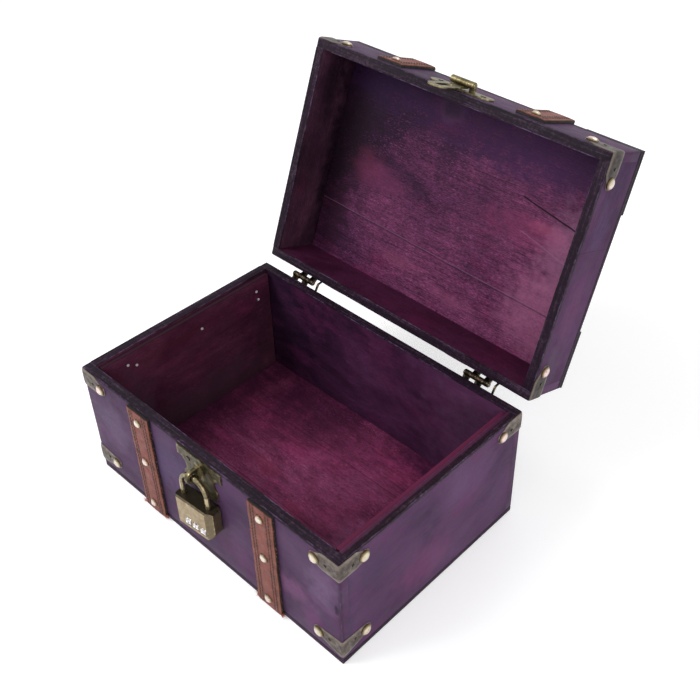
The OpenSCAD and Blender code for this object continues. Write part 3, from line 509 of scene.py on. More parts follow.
def leather(name, face, edge, straps=True):
    """Brown hide with pores and creases, its cut edges blackened."""
    p = Paint(name, roughness=0.55, specular=0.3)
    colour = p.ramp(p.noise(6.0, 5, 0.65), (0.30, 0.50, 0.72), face)
    creases = p.noise(1.8, 5, 0.7, (1, 1, 3))
    folds = p.ramp(creases, (0.34, 0.58), ((0.45, 0.38, 0.36, 1), 1.0))
    colour = p.mix(0.45, colour, folds, "MULTIPLY")
    if straps:
        # a smooth middle, two pressed lines along each side and a paler shaved edge
        across = p.abs(p.minus(p.abs(p.xyz[0]), STRAP_X))
        across = p.plus(across, p.shake(1.6, 2.2, 4, 0.7))
        colour = p.mix(p.times(p.step(across, 4.4, 3.0), 0.45), colour, "864841")
        colour = p.mix(p.times(p.step(across, 8.5, 9.6), 0.7), colour, "8c5239")
        for place in (4.9, 7.1):
            line = p.step(p.abs(p.minus(across, place)), 0.55, 0.2)
            colour = p.mix(p.times(line, 0.6), colour, "351810")
    ragged = p.plus(p.cut_edge, p.shake(0.5, 1.5))
    colour = p.mix(p.step(ragged, 0.35, 0.65), colour, edge)
    normal = p.bump(creases, 0.22, p.bump(p.cells(0.75), 0.10))
    return p.done(colour, normal, p.ramp(p.noise(4.0, 4), (0.3, 0.7), (0.45, 0.66)))


def metal(name, plate, rough=(0.30, 0.5), grime=0.6, painted_shade_faces=(), above=None, metallic=0.92,
          edge_wear_and_highlight=0.55):
    """Antique plated metal: a worn tone with darker patina in patches and fine pits, pale ridges
    of worn plate with a painted highlight, painted shade on the faces named as
    (axis, way, amount), and darker above a height."""
    plate = tones(plate)
    p = Paint(name, metallic=metallic)
    colour = p.ramp(p.noise(4.0, 6, 0.68), (0.30, 0.50, 0.72), plate)
    pits = p.step(p.noise(0.9, 3, 0.7), 0.58, 0.70)
    colour = p.mix(p.times(pits, grime), colour, shade(plate[0], 0.3))
    # painted shade: faces that point along a named axis turn nearly black
    for index, way, amount in painted_shade_faces:
        facing = p.step(p.times(p.facing(index), way), 0.35, 0.85)
        colour = p.mix(p.times(facing, amount), colour, shade(plate[0], 0.07))
    if above is not None:
        high = p.times(p.step(p.xyz[2], above - 0.1, above + 0.1), 0.6)
        colour = p.mix(high, colour, shade(plate[0], 0.6))
    shape = p.node("NewGeometry").outputs["Pointiness"]
    # pale ridges are worn plate with a painted highlight; dark hollows are patina
    ridges, hollows = p.step(shape, 0.505, 0.56), p.step(shape, 0.495, 0.44)
    colour = p.mix(p.times(ridges, edge_wear_and_highlight), colour, shade(plate[2], 1.6, 0.03))
    colour = p.mix(p.times(hollows, edge_wear_and_highlight), colour, shade(plate[0], 0.25))
    return p.done(colour, p.bump(p.noise(0.9, 3), 0.03), p.ramp(p.noise(3.0, 4), (0.3, 0.7), rough))


def dome_material():
    """Pressed nail heads: pale plate, some rosy and some yellow, with painted shade that darkens
    them from the tip down to a painted contact shadow where they meet the wood.
    """
    p = Paint("dome_nail", metallic=0.9)
    warm = p.ramp(p.noise(13.0, 1), (0.40, 0.50, 0.60), "e6cdc8 ddd3c6 d4c9b0")
    worn = p.noise(1.5, 5, 0.7)
    colour = p.mix(p.times(p.step(worn, 0.54, 0.66), 0.6), warm, "6e5f42")
    # painted shade: the head darkens from its tip to a painted contact shadow at its flange
    painted_dome_shade = p.ramp(p.cut_edge, (0.0, 0.35, 0.75, 1.0), "ffffff a3967c 574c38 1c1610")
    colour = p.mix(1.0, colour, painted_dome_shade, "MULTIPLY")
    normal = p.bump(p.cells(2.0, "SMOOTH_F1"), 0.14)
    return p.done(colour, normal, p.ramp(worn, (0.3, 0.7), (0.18, 0.36)))


BRONZE = metal("antique_bronze", "38321f 5f573d 857a58", grime=0.7)
STAPLE_BRONZE = metal("staple_bronze", "19150d 4c4531 857a5a", grime=0.9)
BRACKET = metal("bracket_bronze", "292320 554b45 857a71", rough=(0.36, 0.55), above=86.1,
                grime=0.8, edge_wear_and_highlight=0.3)
# the lock's right side and top carry painted shade
LOCK_BRONZE = metal("lock_bronze", "7a6b52 9c8a6b b8a582", rough=(0.34, 0.5), grime=0.25,
                    painted_shade_faces=((0, 1, 0.62), (2, 1, 0.97)), metallic=0.75, edge_wear_and_highlight=0.0)
SHACKLE_BRONZE = metal("shackle_bronze", "4e4633 7a6f54 b3a582", rough=(0.2, 0.38), grime=0.4)
HINGE_BRONZE = metal("hinge_bronze", "070605 17120d 4c3e2c")
DOME = dome_material()
DARK_NAIL = metal("dark_nail", "15120f 2b251d 463d2e")
STEEL = metal("bare_steel", "77736c a29e96 c6c2ba", rough=(0.25, 0.4), grime=0.3)
# the brad heads are nearly white and little metallic: a painted glint
PAINTED_GLINT_STEEL = metal("painted_glint_steel", "b9b5ad dedbd4 f6f4f0", rough=(0.3, 0.45), grime=0.1,
                     metallic=0.3)
STRAP = leather("strap_leather", "471d16 6e382d 894a40", "120d0d")
PATCH_LEATHER = leather("patch_leather", "0d0a0b 171213 241d1d", "070506", False)


def thread_material(name, twisted):
    p = Paint(name, roughness=0.75)
    twist = p.noise(0.35, 2, 0.55, (1, 1, 1.6))
    return p.done(p.ramp(twist, (0.35, 0.65), twisted), p.bump(twist, 0.04))


def dial_material():
    p = Paint("dial_silver", roughness=0.32, metallic=0.75)
    brushed = p.noise(0.5, 3, 0.55, (6, 1, 1))
    colour = p.ramp(brushed, (0.3, 0.7), "b9b5b8 f0ecee")
    grime = p.step(p.noise(1.6, 5), 0.56, 0.68)
    return p.done(p.mix(p.times(grime, 0.5), colour, "4d4740"), p.bump(brushed, 0.02))


def number_material():
    p = Paint("number_paint", roughness=0.5)
    return p.done(p.ramp(p.noise(0.6, 2), (0.3, 0.7), "101010 2c2a2b"))


THREAD = thread_material("stitch_thread", "1d0f0b 4c2a1e")
FIBRE = thread_material("frayed_fibre", "7c3a2c b96a58")
DIAL = dial_material()
NUMBER = number_material()

# ---- mesh helpers


def placed(name, data):
    """A new object in the scene."""
    new = bpy.data.objects.new(name, data)
    bpy.context.scene.collection.objects.link(new)
    return new


def finished(name, mesh_mm, body, slot, material, replaces=(), sharp=32.0, place=None):
    """Turns a bmesh in millimetres into a piece that rides on a body."""
    bmesh.ops.transform(mesh_mm, matrix=TO_METRES, verts=mesh_mm.verts)
    bmesh.ops.recalc_face_normals(mesh_mm, faces=mesh_mm.faces)
    for face in mesh_mm.faces:
        face.smooth = True
    for edge in mesh_mm.edges:
        if len(edge.link_faces) == 2 and edge.calc_face_angle(0.0) > math.radians(sharp):
            edge.smooth = False
    mesh = bpy.data.meshes.new(name)
    mesh_mm.to_mesh(mesh)
    mesh_mm.free()
    mesh.materials.append(material)
    piece = placed(name, mesh)
    piece.matrix_world = place or PLACES[body]
    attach(piece, body)
    if replaces:
        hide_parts(*replaces)


def softened(node, body, slot, material, width):
    """The CAD node's own shape with its sharp edges worn round."""
    mesh = bmesh.new()
    mesh.from_mesh(frame["nodes"][node].data)
    bmesh.ops.transform(mesh, matrix=Matrix.Scale(1000, 4), verts=mesh.verts)
    bmesh.ops.remove_doubles(mesh, verts=mesh.verts, dist=0.0015)
    bmesh.ops.dissolve_limit(mesh, angle_limit=math.radians(1.0), use_dissolve_boundaries=False,
                             verts=mesh.verts, edges=mesh.edges)
    sharp = [e for e in mesh.edges
             if len(e.link_faces) == 2 and e.calc_face_angle(0.0) > math.radians(38)]
    bmesh.ops.bevel(mesh, geom=sharp, offset=width, segments=2, profile=0.6, affect="EDGES",
                    clamp_overlap=True)
    # short edges all over, so that the worn and highlighted tone of an edge stays beside it
    bmesh.ops.triangulate(mesh, faces=mesh.faces)
    for _ in range(4):
        long = [e for e in mesh.edges if e.calc_length() > 2.0]
        if long:
            bmesh.ops.subdivide_edges(mesh, edges=long, cuts=1)
            bmesh.ops.triangulate(mesh, faces=[f for f in mesh.faces if len(f.verts) > 3])
    finished(node + "_piece", mesh, body, slot, material, (node,), 50, PLACES["box"])


def repaint(node, material):
    """Keeps the CAD node and gives it a better material."""
    piece = frame["nodes"][node]
    if not piece.data.materials:
        piece.data.materials.append(material)
    for slot in piece.material_slots:
        slot.material = material


def wobble(point, amount, seed):
    """A small smooth shift, as hand-sawn wood has."""
    a = math.sin(point[0] * 0.071 + seed) + math.sin(point[1] * 0.083 + seed * 1.7)
    b = math.sin(point[2] * 0.113 + seed * 2.3) + math.sin(point[0] * 0.031 + seed * 0.7)
    return Vector((b, a, b - a)) * amount / 3


def plank(low, high, round_edge=0.55, spacing=9.0, waver=0.05, seed=0.0):
    """A board with softened edges and faces that are not quite flat."""
    mesh = bmesh.new()
    size = Vector(high) - Vector(low)
    bmesh.ops.create_cube(mesh, size=1.0)
    bmesh.ops.scale(mesh, vec=size, verts=mesh.verts)
    bmesh.ops.translate(mesh, vec=(Vector(high) + Vector(low)) / 2, verts=mesh.verts)
    # a corner joint lies flush under the paint, so its edges stay sharp
    worn = [e for e in mesh.edges
            if not all(abs(abs(v.co.x) - HALF_W) + abs(abs(v.co.y) - HALF_D + WALL) < 0.01
                       for v in e.verts)]
    bmesh.ops.bevel(mesh, geom=worn, offset=round_edge, segments=2, profile=0.5, affect="EDGES")
    for index in range(3):
        count = max(1, int(size[index] / spacing))
        for i in range(1, count):
            at, normal = Vector(low), Vector((0, 0, 0))
            at[index] = low[index] + size[index] * i / count
            normal[index] = 1
            bmesh.ops.bisect_plane(mesh, geom=[*mesh.verts, *mesh.edges, *mesh.faces],
                                   plane_co=at, plane_no=normal)
    for vert in mesh.verts:
        vert.co += wobble(vert.co, waver, seed)
    return mesh


def bridge(mesh, rings):
    """Faces from each closed ring of vertices to the next."""
    for a, b in zip(rings, rings[1:]):
        for k in range(len(a)):
            mesh.faces.new((a[k - 1], a[k], b[k], b[k - 1]))


def cap(mesh, rings):
    """Faces between the rings and over both ends."""
    bridge(mesh, rings)
    mesh.faces.new(rings[0][::-1])
    mesh.faces.new(rings[-1])


def sweep(mesh, path, outline, edge_value=None):
    """Pulls an outline of (across, out) pairs along (origin, side, out) frames and caps it."""
    layer = edge_value and mesh.verts.layers.float.new("cut_edge")
    rings = []
    for i, (origin, side, out) in enumerate(path):
        ring = []
        for k, (u, w) in enumerate(outline(i)):
            ring.append(mesh.verts.new(origin + side * u + out * w))
            if edge_value:
                ring[-1][layer] = edge_value(k)
        rings.append(ring)
    cap(mesh, rings)


def circle(radius, count):
    turns = (k * math.pi / (count / 2) for k in range(count))
    return [(radius * math.cos(a), radius * math.sin(a)) for a in turns]


# ---- wood


def board(node, low, high, material, body="box", slot="body_wood", **more):
    finished(node + "_wood", plank(low, high, **more), body, slot, material, (node,))


def tray_walls(prefix, low, high, woods, seed, **more):
    """The front, back, left and right boards of the body or of the lid."""
    front, back, side = woods
    for name, start, end, material in (
        ("front", (-HALF_W, -HALF_D), (HALF_W, -INNER_D), front),
        ("back", (-HALF_W, INNER_D), (HALF_W, HALF_D), back),
        ("left", (-HALF_W, -INNER_D), (-INNER_W, INNER_D), side),
        ("right", (INNER_W, -INNER_D), (HALF_W, INNER_D), side),
    ):
        node = prefix + name + "_panel"
        board(node, (*start, low), (*end, high), material, seed=seed, **more)
        seed += 1


body_tray = dict(rim=BODY_H, closed=0.0)
lid_tray = dict(rim=LID_LOW, closed=LID_TOP)
front_wood = wood("front_wood", OUTER, INNER_DARK, 0, 1, extras=front_extras, **body_tray)
back_wood = wood("back_wood", OUTER_SIDE, INNER_DARK, 0, 2, extras=back_extras,
                 lean=(0.0013, 0, 0), worn=0.2, **body_tray)
side_wood = wood("side_wood", OUTER_SIDE, INNER_SIDE, 1, 3, extras=side_extras,
                 lean=(0, -0.0012, 0), **body_tray)
floor_wood = wood("floor_wood", OUTER_SIDE, FLOOR, 0, 4, extras=floor_extras,
                  lean=(0.0004, -0.0018, 0), worn=0.6, **body_tray)
liner_wood = wood("liner_wood", INNER_SIDE, INNER_SIDE, 1, 6, extras=liner_extras, **body_tray)
lid_front_wood = wood("lid_front_wood", OUTER, INNER_DARK, 0, 7, **lid_tray)
lid_back_wood = wood("lid_back_wood", OUTER_SIDE, LID_BACK, 0, 8, **lid_tray)
lid_side_wood = wood("lid_side_wood", LID_SIDE, LID_BLACK, 1, 9, extras=lid_side_extras,
                     **lid_tray)
lid_board_wood = wood("lid_board_wood", OUTER, LID_INSIDE, 0, 10, extras=lid_board_extras,
                      lean=(0.0016, 0.0026, 0), worn=1.05, **lid_tray)

board("bottom_board", (-HALF_W, -HALF_D, 0), (HALF_W, HALF_D, BASE), floor_wood,
      slot="floor_wood", seed=1)
tray_walls("", BASE, BODY_H, (front_wood, back_wood, side_wood), 2)
for side, node in ((-1, "left_liner"), (1, "right_liner")):
    low, high = sorted((side * (INNER_W - LINER), side * INNER_W))
    board(node, (low, -LINER_D, BASE), (high, LINER_D, BODY_H - LINER_DROP), liner_wood,
          slot="liner_wood", seed=6 + side, round_edge=0.4)
tray_walls("lid_", LID_LOW, LID_BOARD_LOW, (lid_front_wood, lid_back_wood, lid_side_wood), 8,
           body="lid", slot="lid_wood")
board("lid_top_board", (-HALF_W, -HALF_D, LID_BOARD_LOW), (HALF_W, HALF_D, LID_TOP),
      lid_board_wood, body="lid", slot="lid_board_wood", seed=12)

# ---- leather


def stitch_row(mesh, frames, across, out, pitch=2.6, length=1.9, radius=0.24):
    """A line of short threads that dip into the leather at both ends."""
    lengths = [0.0]
    for a, b in zip(frames, frames[1:]):
        lengths.append(lengths[-1] + (b[0] - a[0]).length)

    def at(s):
        for i in range(len(frames) - 1):
            if s <= lengths[i + 1] or i == len(frames) - 2:
                t = (s - lengths[i]) / max(1e-6, lengths[i + 1] - lengths[i])
                return [a.lerp(b, t) for a, b in zip(frames[i], frames[i + 1])]

    s = 1.6
    while s + length < lengths[-1] - 1.2:
        path = []
        for t in (0.0, 0.25, 0.5, 0.75, 1.0):
            origin, side, up = at(s + length * t)
            up = up.normalized()
            lift = out - 0.2 + 0.34 * math.sin(math.pi * t)
            path.append((origin + side * across + up * lift, side, up))
        sweep(mesh, path, lambda i: circle(radius, 6))
        s += pitch


def front_path(x):
    """Frames up the body's front, facing outwards."""
    side, out = Vector((1, 0, 0)), Vector((0, -1, 0))
    low, high = STRAP_END, BODY_H - STRAP_END
    return [(Vector((x, -HALF_D, low + (high - low) * i / 24)), side, out) for i in range(25)]


def over_lid_path(x):
    """Frames from the lid's front rim up over it and down its back, by their slant."""
    low = LID_LOW + LID_STRAP_END
    stops = [(0, -HALF_D, low + (LID_TOP - low) * i / 8) for i in range(9)]
    stops += [(15 * k, -HALF_D, LID_TOP) for k in range(1, 6)]
    stops += [(90, -HALF_D + 2 * HALF_D * i / 30, LID_TOP) for i in range(31)]
    stops += [(90 + 15 * k, HALF_D, LID_TOP) for k in range(1, 6)]
    stops += [(180, HALF_D, LID_TOP - (LID_TOP - low) * i / 8) for i in range(9)]
    return [(Vector((x, y, z)), Vector((1, 0, 0)),
             Vector((0, -math.cos(math.radians(a)), math.sin(math.radians(a)))))
            for a, y, z in stops]


def strap(node, path, body, seed):
    """A strap with a flat back, rounded shoulders, a slight crown and four rows of stitches."""
    def outline(i):
        wave = 0.16 * math.sin(i * 0.9 + seed) + 0.1 * math.sin(i * 2.3 + seed * 3) - 0.2
        half = STRAP_W / 2 + wave
        shoulders = [(half, 0.0), (half, STRAP_T * 0.55), (half - 0.35, STRAP_T * 0.9)]
        crown = [(t * (half - 0.6), STRAP_T * (1 - 0.07 * t * t))
                 for t in (k / 10 * 2 - 1 for k in range(1, 10))]
        return [(-u, w) for u, w in shoulders] + crown + shoulders[::-1]

    last = len(outline(0)) - 1
    mesh = bmesh.new()
    sweep(mesh, path, outline, lambda k: 1.0 if k <= 1 or k >= last - 1 else 0.0)
    finished(node + "_leather", mesh, body, "strap_leather", STRAP, (node,), sharp=60)
    stitches = bmesh.new()
    for across in (-7.1, -4.9, 4.9, 7.1):
        stitch_row(stitches, path, across, STRAP_T * 0.965)
    finished(node + "_leather_stitches", stitches, body, "strap_leather", THREAD)


def fibre(mesh, start, lean, length, thin, sag=0.0):
    """A fibre that tapers from its start along a direction, sagging at its end."""
    lean = Vector(lean).normalized()
    side = Vector((0, 1, 0)).cross(lean).normalized()
    path = [(Vector(start) + (lean * t + Vector((0, 0, -sag * t * t))) * length,
             side, side.cross(lean)) for t in (0, 0.5, 1.0)]
    sweep(mesh, path, lambda i: circle(thin * (1 - 0.3 * i), 5))


def frayed_end(name, x, seed):
    """Loose fibres at the cut lower end of a strap on the body's front."""
    rng = random.Random(seed)
    draw = rng.uniform
    mesh = bmesh.new()
    for _ in range(34):
        start = (x + draw(-9.3, 9.3), -HALF_D - draw(0.5, 2.1), STRAP_END + 0.4)
        lean = (draw(-0.7, 0.7), draw(-0.35, 0.1), -1)
        fibre(mesh, start, lean, draw(0.8, 1.7), draw(0.09, 0.17))
    # tufts at both corners, swept outwards, and then short fuzz along both sides
    for count, across, deep, up, lean_y, lean_z, length, thin, sag in (
        (70, (8.0, 9.8), (0.6, 2.2), (0.6, 2.2), (-0.35, 0.1), (-0.45, 0.2), (1.6, 3.4), 0.13,
         0.12),
        (150, (9.4, 9.9), (0.3, 2.1), (2, 80), (-0.5, 0.1), (-1.0, 0.5), (0.4, 1.0), 0.11, 0.0),
    ):
        for _ in range(count):
            way = rng.choice((-1, 1))
            start = (x + way * draw(*across), -HALF_D - draw(*deep), STRAP_END + draw(*up))
            lean = (way * draw(0.5, 1.0), draw(*lean_y), draw(*lean_z))
            fibre(mesh, start, lean, draw(*length), thin, sag)
    finished(name, mesh, "box", "strap_leather", FIBRE)


for side, label in ((-1, "left"), (1, "right")):
    x = side * STRAP_X
    strap("front_strap_" + label, front_path(x), "box", side)
    frayed_end("front_strap_" + label + "_fibres", x, 11 + side)
    strap("lid_strap_" + label, over_lid_path(x), "lid", side + 4)


def patch(label, flip_x, flip_y):
    """A square of dark leather with a round hollow towards the middle of the lid."""
    mesh = bmesh.new()
    layer = mesh.verts.layers.float.new("cut_edge")
    arc = [(PATCH - PATCH_HOLLOW * math.cos(a), PATCH - PATCH_HOLLOW * math.sin(a))
           for a in (math.radians(90) * k / 14 for k in range(15))]
    middle = Vector((PATCH * 0.3, PATCH * 0.3))
    rings = []
    for inset, lift in ((0, 0), (0, PATCH_T * 0.6), (0.4, PATCH_T * 0.95), (1.1, PATCH_T)):
        ring = []
        for u, v in [(0, 0), (PATCH, 0)] + arc[::-1] + [(0, PATCH)]:
            toward = (middle - Vector((u, v))).normalized() * inset
            x, y = flip_x * (HALF_W - (u + toward.x)), flip_y * (HALF_D - (v + toward.y))
            ring.append(mesh.verts.new((x, y, LID_TOP + lift)))
            ring[-1][layer] = 1.0 if inset < 0.3 else 0.0
        rings.append(ring)
    cap(mesh, rings)
    node = "lid_patch_" + label
    finished(node + "_leather", mesh, "lid", "patch_leather", PATCH_LEATHER, (node,), sharp=60)
    threads = bmesh.new()
    ends = (3.0, PATCH - 2.0)
    for side, row in (((1, 0, 0), [(PATCH_SEAM, v) for v in ends]),
                      ((0, 1, 0), [(u, PATCH_SEAM) for u in ends])):
        start, end = (Vector((flip_x * (HALF_W - u), flip_y * (HALF_D - v), LID_TOP))
                      for u, v in row)
        frames = [(start.lerp(end, t / 8), Vector(side), Vector((0, 0, 1))) for t in range(9)]
        stitch_row(threads, frames, 0, PATCH_T)
    finished(node + "_stitches", threads, "lid", "patch_leather", THREAD)


CORNERS = (("front_left", -1, -1), ("front_right", 1, -1), ("back_left", -1, 1),
           ("back_right", 1, 1))
for corner in CORNERS:
    patch(*corner)

# ---- corner brackets


def bracket(node, sx, sy, low, height, web, eye, body="box"):
    """A strip of sheet folded round the corner, each arm ending in a round eye."""
    arc = FOLD_R * math.pi / 2
    reach = BRACKET_NAIL - FOLD_R + arc / 2
    web = web - FOLD_R + arc / 2
    end = reach + EYE_R

    def limits(s):
        """The sheet's lower and upper edge at a distance along it from the fold."""
        s = abs(s)
        if s <= web:
            return 0.0, height
        if s >= reach:
            half = math.sqrt(max(0.0, EYE_R ** 2 - (s - reach) ** 2))
            return eye - half, eye + half
        t = (s - web) / (reach - web)
        return t * (eye - EYE_R), height + t * (eye + EYE_R - height)

    def on_box(s, v, w):
        """The place at s along the sheet, v up it and w out from the wood."""
        if s < -arc / 2:
            x, y = HALF_W - FOLD_R + (s + arc / 2), -HALF_D - w
        elif s > arc / 2:
            x, y = HALF_W + w, -HALF_D + FOLD_R + (s - arc / 2)
        else:
            a = math.radians(-90 + 90 * (s + arc / 2) / arc)
            x = HALF_W - FOLD_R + (FOLD_R + w) * math.cos(a)
            y = -HALF_D + FOLD_R + (FOLD_R + w) * math.sin(a)
        return Vector((sx * x, -sy * y, low + v))

    half_s = [0.0, arc / 6, arc / 3, arc / 2]
    half_s += [arc / 2 + (web - arc / 2) * k / 5 for k in range(1, 6)]
    half_s += [web + (reach - web) * k / 8 for k in range(1, 9)]
    half_s += [reach + EYE_R * math.sin(math.radians(90 * k / 8)) for k in range(1, 9)]
    half_s[-1] = end - 0.02
    rows = 8
    mesh = bmesh.new()
    outer, inner = [], []
    for s in [-s for s in half_s[:0:-1]] + half_s:
        v0, v1 = limits(s)
        outer.append([])
        inner.append([])
        for k in range(rows + 1):
            t = k / rows
            v = v0 + (v1 - v0) * t
            edge = min(v - v0, v1 - v, end - abs(s))
            crown = BRACKET_T * (0.55 + 0.45 * min(1.0, max(0.0, edge) / 0.7))
            crown += 0.12 * math.sin(math.pi * t) - 0.12
            outer[-1].append(mesh.verts.new(on_box(s, v, max(0.25, crown))))
            inner[-1].append(mesh.verts.new(on_box(s, v, 0.0)))
    for a, b in zip(outer, outer[1:]):
        for k in range(rows):
            mesh.faces.new((a[k], a[k + 1], b[k + 1], b[k]))
    for a, b in zip(inner, inner[1:]):
        for k in range(rows):
            mesh.faces.new((a[k], b[k], b[k + 1], a[k + 1]))
    for a, b, c, d in zip(outer, outer[1:], inner, inner[1:]):
        mesh.faces.new((a[0], b[0], d[0], c[0]))
        mesh.faces.new((a[rows], c[rows], d[rows], b[rows]))
    for i in (0, -1):
        for k in range(rows):
            mesh.faces.new((outer[i][k], inner[i][k], inner[i][k + 1], outer[i][k + 1]))
    finished(node + "_sheet", mesh, body, "bracket_bronze", BRACKET, (node,), sharp=40)


for label, sx, sy in CORNERS:
    bracket("bracket_" + label, sx, sy, RIM_LOW, BRACKET_H, BRACKET_WEB, RIM_EYE)
    bracket("lid_bracket_" + label, sx, sy, LID_LOW + BRACKET_EDGE, BRACKET_H, BRACKET_WEB,
            BRACKET_H - RIM_EYE, "lid")
for label, sx in (("left", -1), ("right", 1)):
    bracket("base_bracket_" + label, sx, -1, BASE_BRACKET_Z, BASE_BRACKET_H, BASE_WEB, BASE_EYE)

# ---- dome nails

# radius and height of the head from its flange to its tip, as shares of the whole
DOME_PROFILE = ((1.0, 0.0), (0.99, 0.10), (0.93, 0.20), (0.86, 0.30), (0.76, 0.50), (0.62, 0.70),
                (0.45, 0.85), (0.26, 0.95), (0.10, 0.99))


def dome(mesh, place, out, head_r, lift, rng):
    """A pressed dome head with a thin flange, a little uneven like hand-set nails."""
    side = out.orthogonal().normalized()
    up = out.cross(side)
    turns = 28
    phase, depth = rng.uniform(0, 6.28), rng.uniform(0.01, 0.035)
    dent = rng.uniform(0, 6.28)
    base = place + out * lift
    layer = mesh.verts.layers.float.get("cut_edge") or mesh.verts.layers.float.new("cut_edge")
    rings = []
    for r, h in DOME_PROFILE:
        ring = []
        for k in range(turns):
            a = 2 * math.pi * k / turns
            uneven = 1 - depth * (1 + math.sin(3 * a + phase)) / 2
            sag = 1 - 0.10 * max(0.0, math.cos(a - dent)) * (1 - abs(2 * r - 1))
            across = (side * math.cos(a) + up * math.sin(a)) * head_r * r * uneven
            ring.append(mesh.verts.new(base + across + out * DOME_H * h * sag * 0.98))
            # how much painted shade the head gets: none at the tip, most at the flange
            ring[-1][layer] = max(0.0, 1.0 - h * 1.25) ** 1.5
        rings.append(ring)
    tip = mesh.verts.new(base + out * DOME_H * 0.985)
    bridge(mesh, rings)
    for k in range(turns):
        mesh.faces.new((rings[-1][k - 1], rings[-1][k], tip))
    mesh.faces.new(rings[0][::-1])


def corner_places(z):
    for _, sx, sy in CORNERS:
        yield Vector((sx * (HALF_W - BRACKET_NAIL), sy * HALF_D, z)), Vector((0, sy, 0))
        yield Vector((sx * HALF_W, sy * (HALF_D - BRACKET_NAIL), z)), Vector((sx, 0, 0))


def dome_nails(label, body, corners, straps):
    """All dome heads of a body: at the brackets' eyes, and on leather of a thickness."""
    rng = random.Random(len(corners) * 7 + len(straps))
    mesh = bmesh.new()
    for at, out in corners:
        dome(mesh, at, out, CORNER_HEAD_R, BRACKET_T, rng)
    for at, out, lift in straps:
        dome(mesh, Vector(at), Vector(out), STRAP_HEAD_R, lift, rng)
    finished(label + "_dome_heads", mesh, body, "dome_nail_brass", DOME,
             (label + "_dome_nails",), sharp=75)


# at the base, only the two front corners have brackets
body_corners = [*corner_places(RIM_LOW + RIM_EYE),
                *list(corner_places(BASE_BRACKET_Z + BASE_EYE))[:4]]
heights = (STRAP_END + STRAP_NAIL, STRAP_END + STRAP_MID_NAIL, BODY_H - STRAP_END - STRAP_NAIL)
dome_nails("body", "box", body_corners,
           [((sx * STRAP_X, -HALF_D, z), (0, -1, 0), STRAP_T) for sx in (-1, 1) for z in heights])

lid_nails = []
nail_z, nail_y = LID_LOW + LID_STRAP_END + LID_STRAP_NAIL, HALF_D - TOP_NAIL
patch_x, patch_y = HALF_W - PATCH_NAIL, HALF_D - PATCH_NAIL
for sx in (-1, 1):
    for sy in (-1, 1):
        lid_nails += [((sx * STRAP_X, sy * HALF_D, nail_z), (0, sy, 0), STRAP_T),
                      ((sx * patch_x, sy * patch_y, LID_TOP), (0, 0, 1), PATCH_T)]
    lid_nails += [((sx * STRAP_X, y, LID_TOP), (0, 0, 1), STRAP_T) for y in (-nail_y, 0, nail_y)]
dome_nails("lid", "lid", [*corner_places(LID_LOW + BRACKET_EDGE + BRACKET_H - RIM_EYE)], lid_nails)

# ---- metalwork from the frame

softened("staple_plate", "box", "staple_bronze", STAPLE_BRONZE, 0.2)
softened("hasp_bar", "lid", "hasp_bronze", BRONZE, 0.2)
softened("hasp_leaf", "hasp", "hasp_bronze", BRONZE, 0.25)
softened("padlock_case", "lock", "lock_bronze", LOCK_BRONZE, 0.45)
softened("padlock_back_plate", "lock", "lock_back_bronze", LOCK_BRONZE, 0.25)
for side in ("left", "right"):
    softened("hinge_leaf_" + side, "box", "hinge_bronze", HINGE_BRONZE, 0.12)
    softened("lid_hinge_leaf_" + side, "lid", "hinge_bronze", HINGE_BRONZE, 0.12)
    repaint("hinge_pin_" + side, HINGE_BRONZE)
for material, nodes in (
    (SHACKLE_BRONZE, ("shackle",)),
    (BRONZE, ("hasp_pin", "dial_spacers")),
    (DARK_NAIL, ("body_bracket_pins", "lid_bracket_pins", "staple_nails", "hinge_nails",
                 "hasp_nails", "lid_hinge_nails")),
    (PAINTED_GLINT_STEEL, ("liner_brads",)),
    (STEEL, ("padlock_rivets", "shackle_stop_pin", "dial_spindle")),
):
    for node in nodes:
        repaint(node, material)

# ---- dials


def digit_mesh(digit):
    """A plain digit as a thin flat mesh, centred, in millimetres."""
    curve = bpy.data.curves.new("digit", "FONT")
    curve.body, curve.size = str(digit), DIGIT_SIZE
    curve.align_x, curve.align_y = "CENTER", "CENTER"
    curve.extrude = 0.02
    helper = placed("digit", curve)
    bpy.context.view_layer.update()
    shape = bpy.data.meshes.new_from_object(helper)
    bpy.data.objects.remove(helper)
    bpy.data.curves.remove(curve)
    return shape


def numbers(body, index, first):
    """The digits round a dial, in the lock's own frame."""
    mesh = bmesh.new()
    for k in range(DIGITS):
        shape = digit_mesh((first + k) % DIGITS)
        shape.transform(
            Matrix.Translation((DIAL_OFF + index * DIAL_PITCH, DIAL_Y, DIAL_Z))
            @ Matrix.Rotation(math.radians(36 * k), 4, "X")
            @ Matrix.Translation((0, -DIAL_R + 0.02, 0))
            @ Matrix.Rotation(math.radians(90), 4, "X")
        )
        mesh.from_mesh(shape)
        bpy.data.meshes.remove(shape)
    finished(body + "_numbers", mesh, body, "dial_silver", NUMBER, place=LOCK)


for index, label, first in ((-1, "left", 3), (0, "middle", 7), (1, "right", 1)):
    repaint("dial_" + label, DIAL)
    numbers("dial_" + label, index, first)

# ---- floor, light, camera


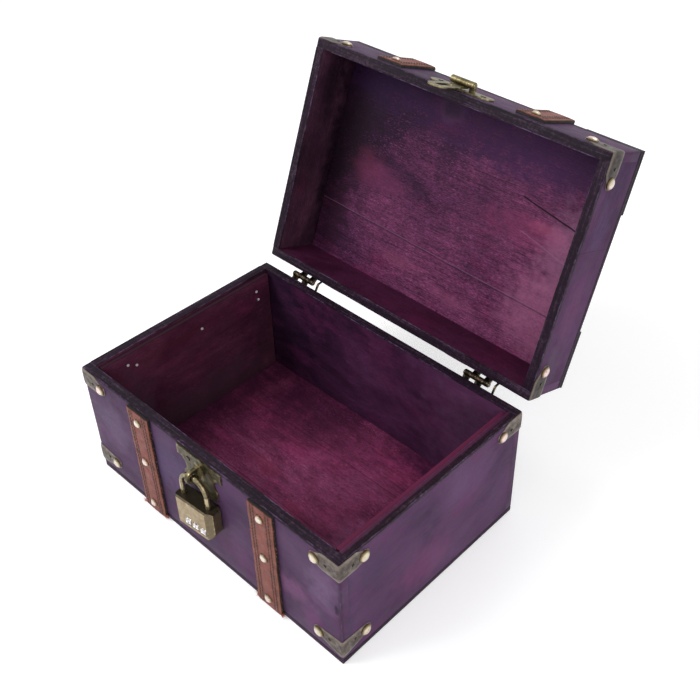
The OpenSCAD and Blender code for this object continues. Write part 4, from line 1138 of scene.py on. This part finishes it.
def floor():
    bpy.ops.mesh.primitive_plane_add(size=6.0, location=(0, 0, -0.0002))
    plane = bpy.context.object
    plane.name = "floor"
    p = Paint("pale_floor", roughness=0.9, specular=0.1)
    seen = p.seen()
    # the floor keeps the shadow near the box and turns plain white farther out
    far = p.step(p.vector("LENGTH", p.mm), 500.0, 1300.0)
    p.put(p.bsdf["Emission Color"], (1, 1, 1, 1))
    p.put(p.bsdf["Emission Strength"], p.times(seen, p.plus(0.30, p.times(far, 0.70))))
    plane.data.materials.append(p.done(p.mix(p.times(seen, far), "f6f6f7", grey(0.0))))


def lamp(name, place, aim, size, watts):
    light = bpy.data.lights.new(name, "AREA")
    light.shape, light.size, light.energy = "SQUARE", size, watts
    stand = placed(name, light)
    stand.location = place
    stand.rotation_euler = (Vector(aim) - Vector(place)).to_track_quat("-Z", "Y").to_euler()


def world():
    studio = bpy.data.worlds.new("studio")
    bpy.context.scene.world = studio
    n = Nodes(studio)
    back = n.tree.nodes["Background"].inputs
    n.put(back["Color"], (1, 1, 1, 1))
    n.put(back["Strength"], n.plus(0.5, n.times(n.seen(), 0.5)))


def camera(azimuth, elevation, roll, distance, target, lens, shift):
    """A camera at a distance from a target, its angles in degrees and its places in metres."""
    a, e, r = map(math.radians, (azimuth, elevation, roll))
    back = Vector((math.sin(a) * math.cos(e), -math.cos(a) * math.cos(e), math.sin(e)))
    right = (-back).cross(Vector((0, 0, 1))).normalized()
    up = right.cross(-back).normalized()
    tilted_right = right * math.cos(r) + up * math.sin(r)
    tilted_up = up * math.cos(r) - right * math.sin(r)
    data = bpy.data.cameras.new("camera")
    data.lens, data.sensor_width = lens, 36.0
    data.shift_x, data.shift_y = shift
    data.clip_start, data.clip_end = 0.01, 20.0
    view = placed("camera", data)
    axes = Matrix((tilted_right, tilted_up, back)).transposed().to_4x4()
    view.matrix_world = Matrix.Translation(Vector(target) + back * distance) @ axes
    bpy.context.scene.camera = view


floor()
world()
lamp("key", (-0.62, -0.78, 1.05), (0, 0.02, 0.06), 0.7, 11.0)
lamp("fill", (0.95, -0.55, 0.75), (0, 0.02, 0.08), 0.9, 5.5)
lamp("rim", (0.2, 0.9, 0.95), (0, 0.05, 0.1), 0.7, 3.0)
camera(azimuth=42.38, elevation=38.77, roll=0.23, distance=0.68402,
       target=(-0.01932, 0.10549, 0.060), lens=51.76, shift=(-0.0608, -0.0336))
bpy.context.scene.view_settings.view_transform = "Standard"
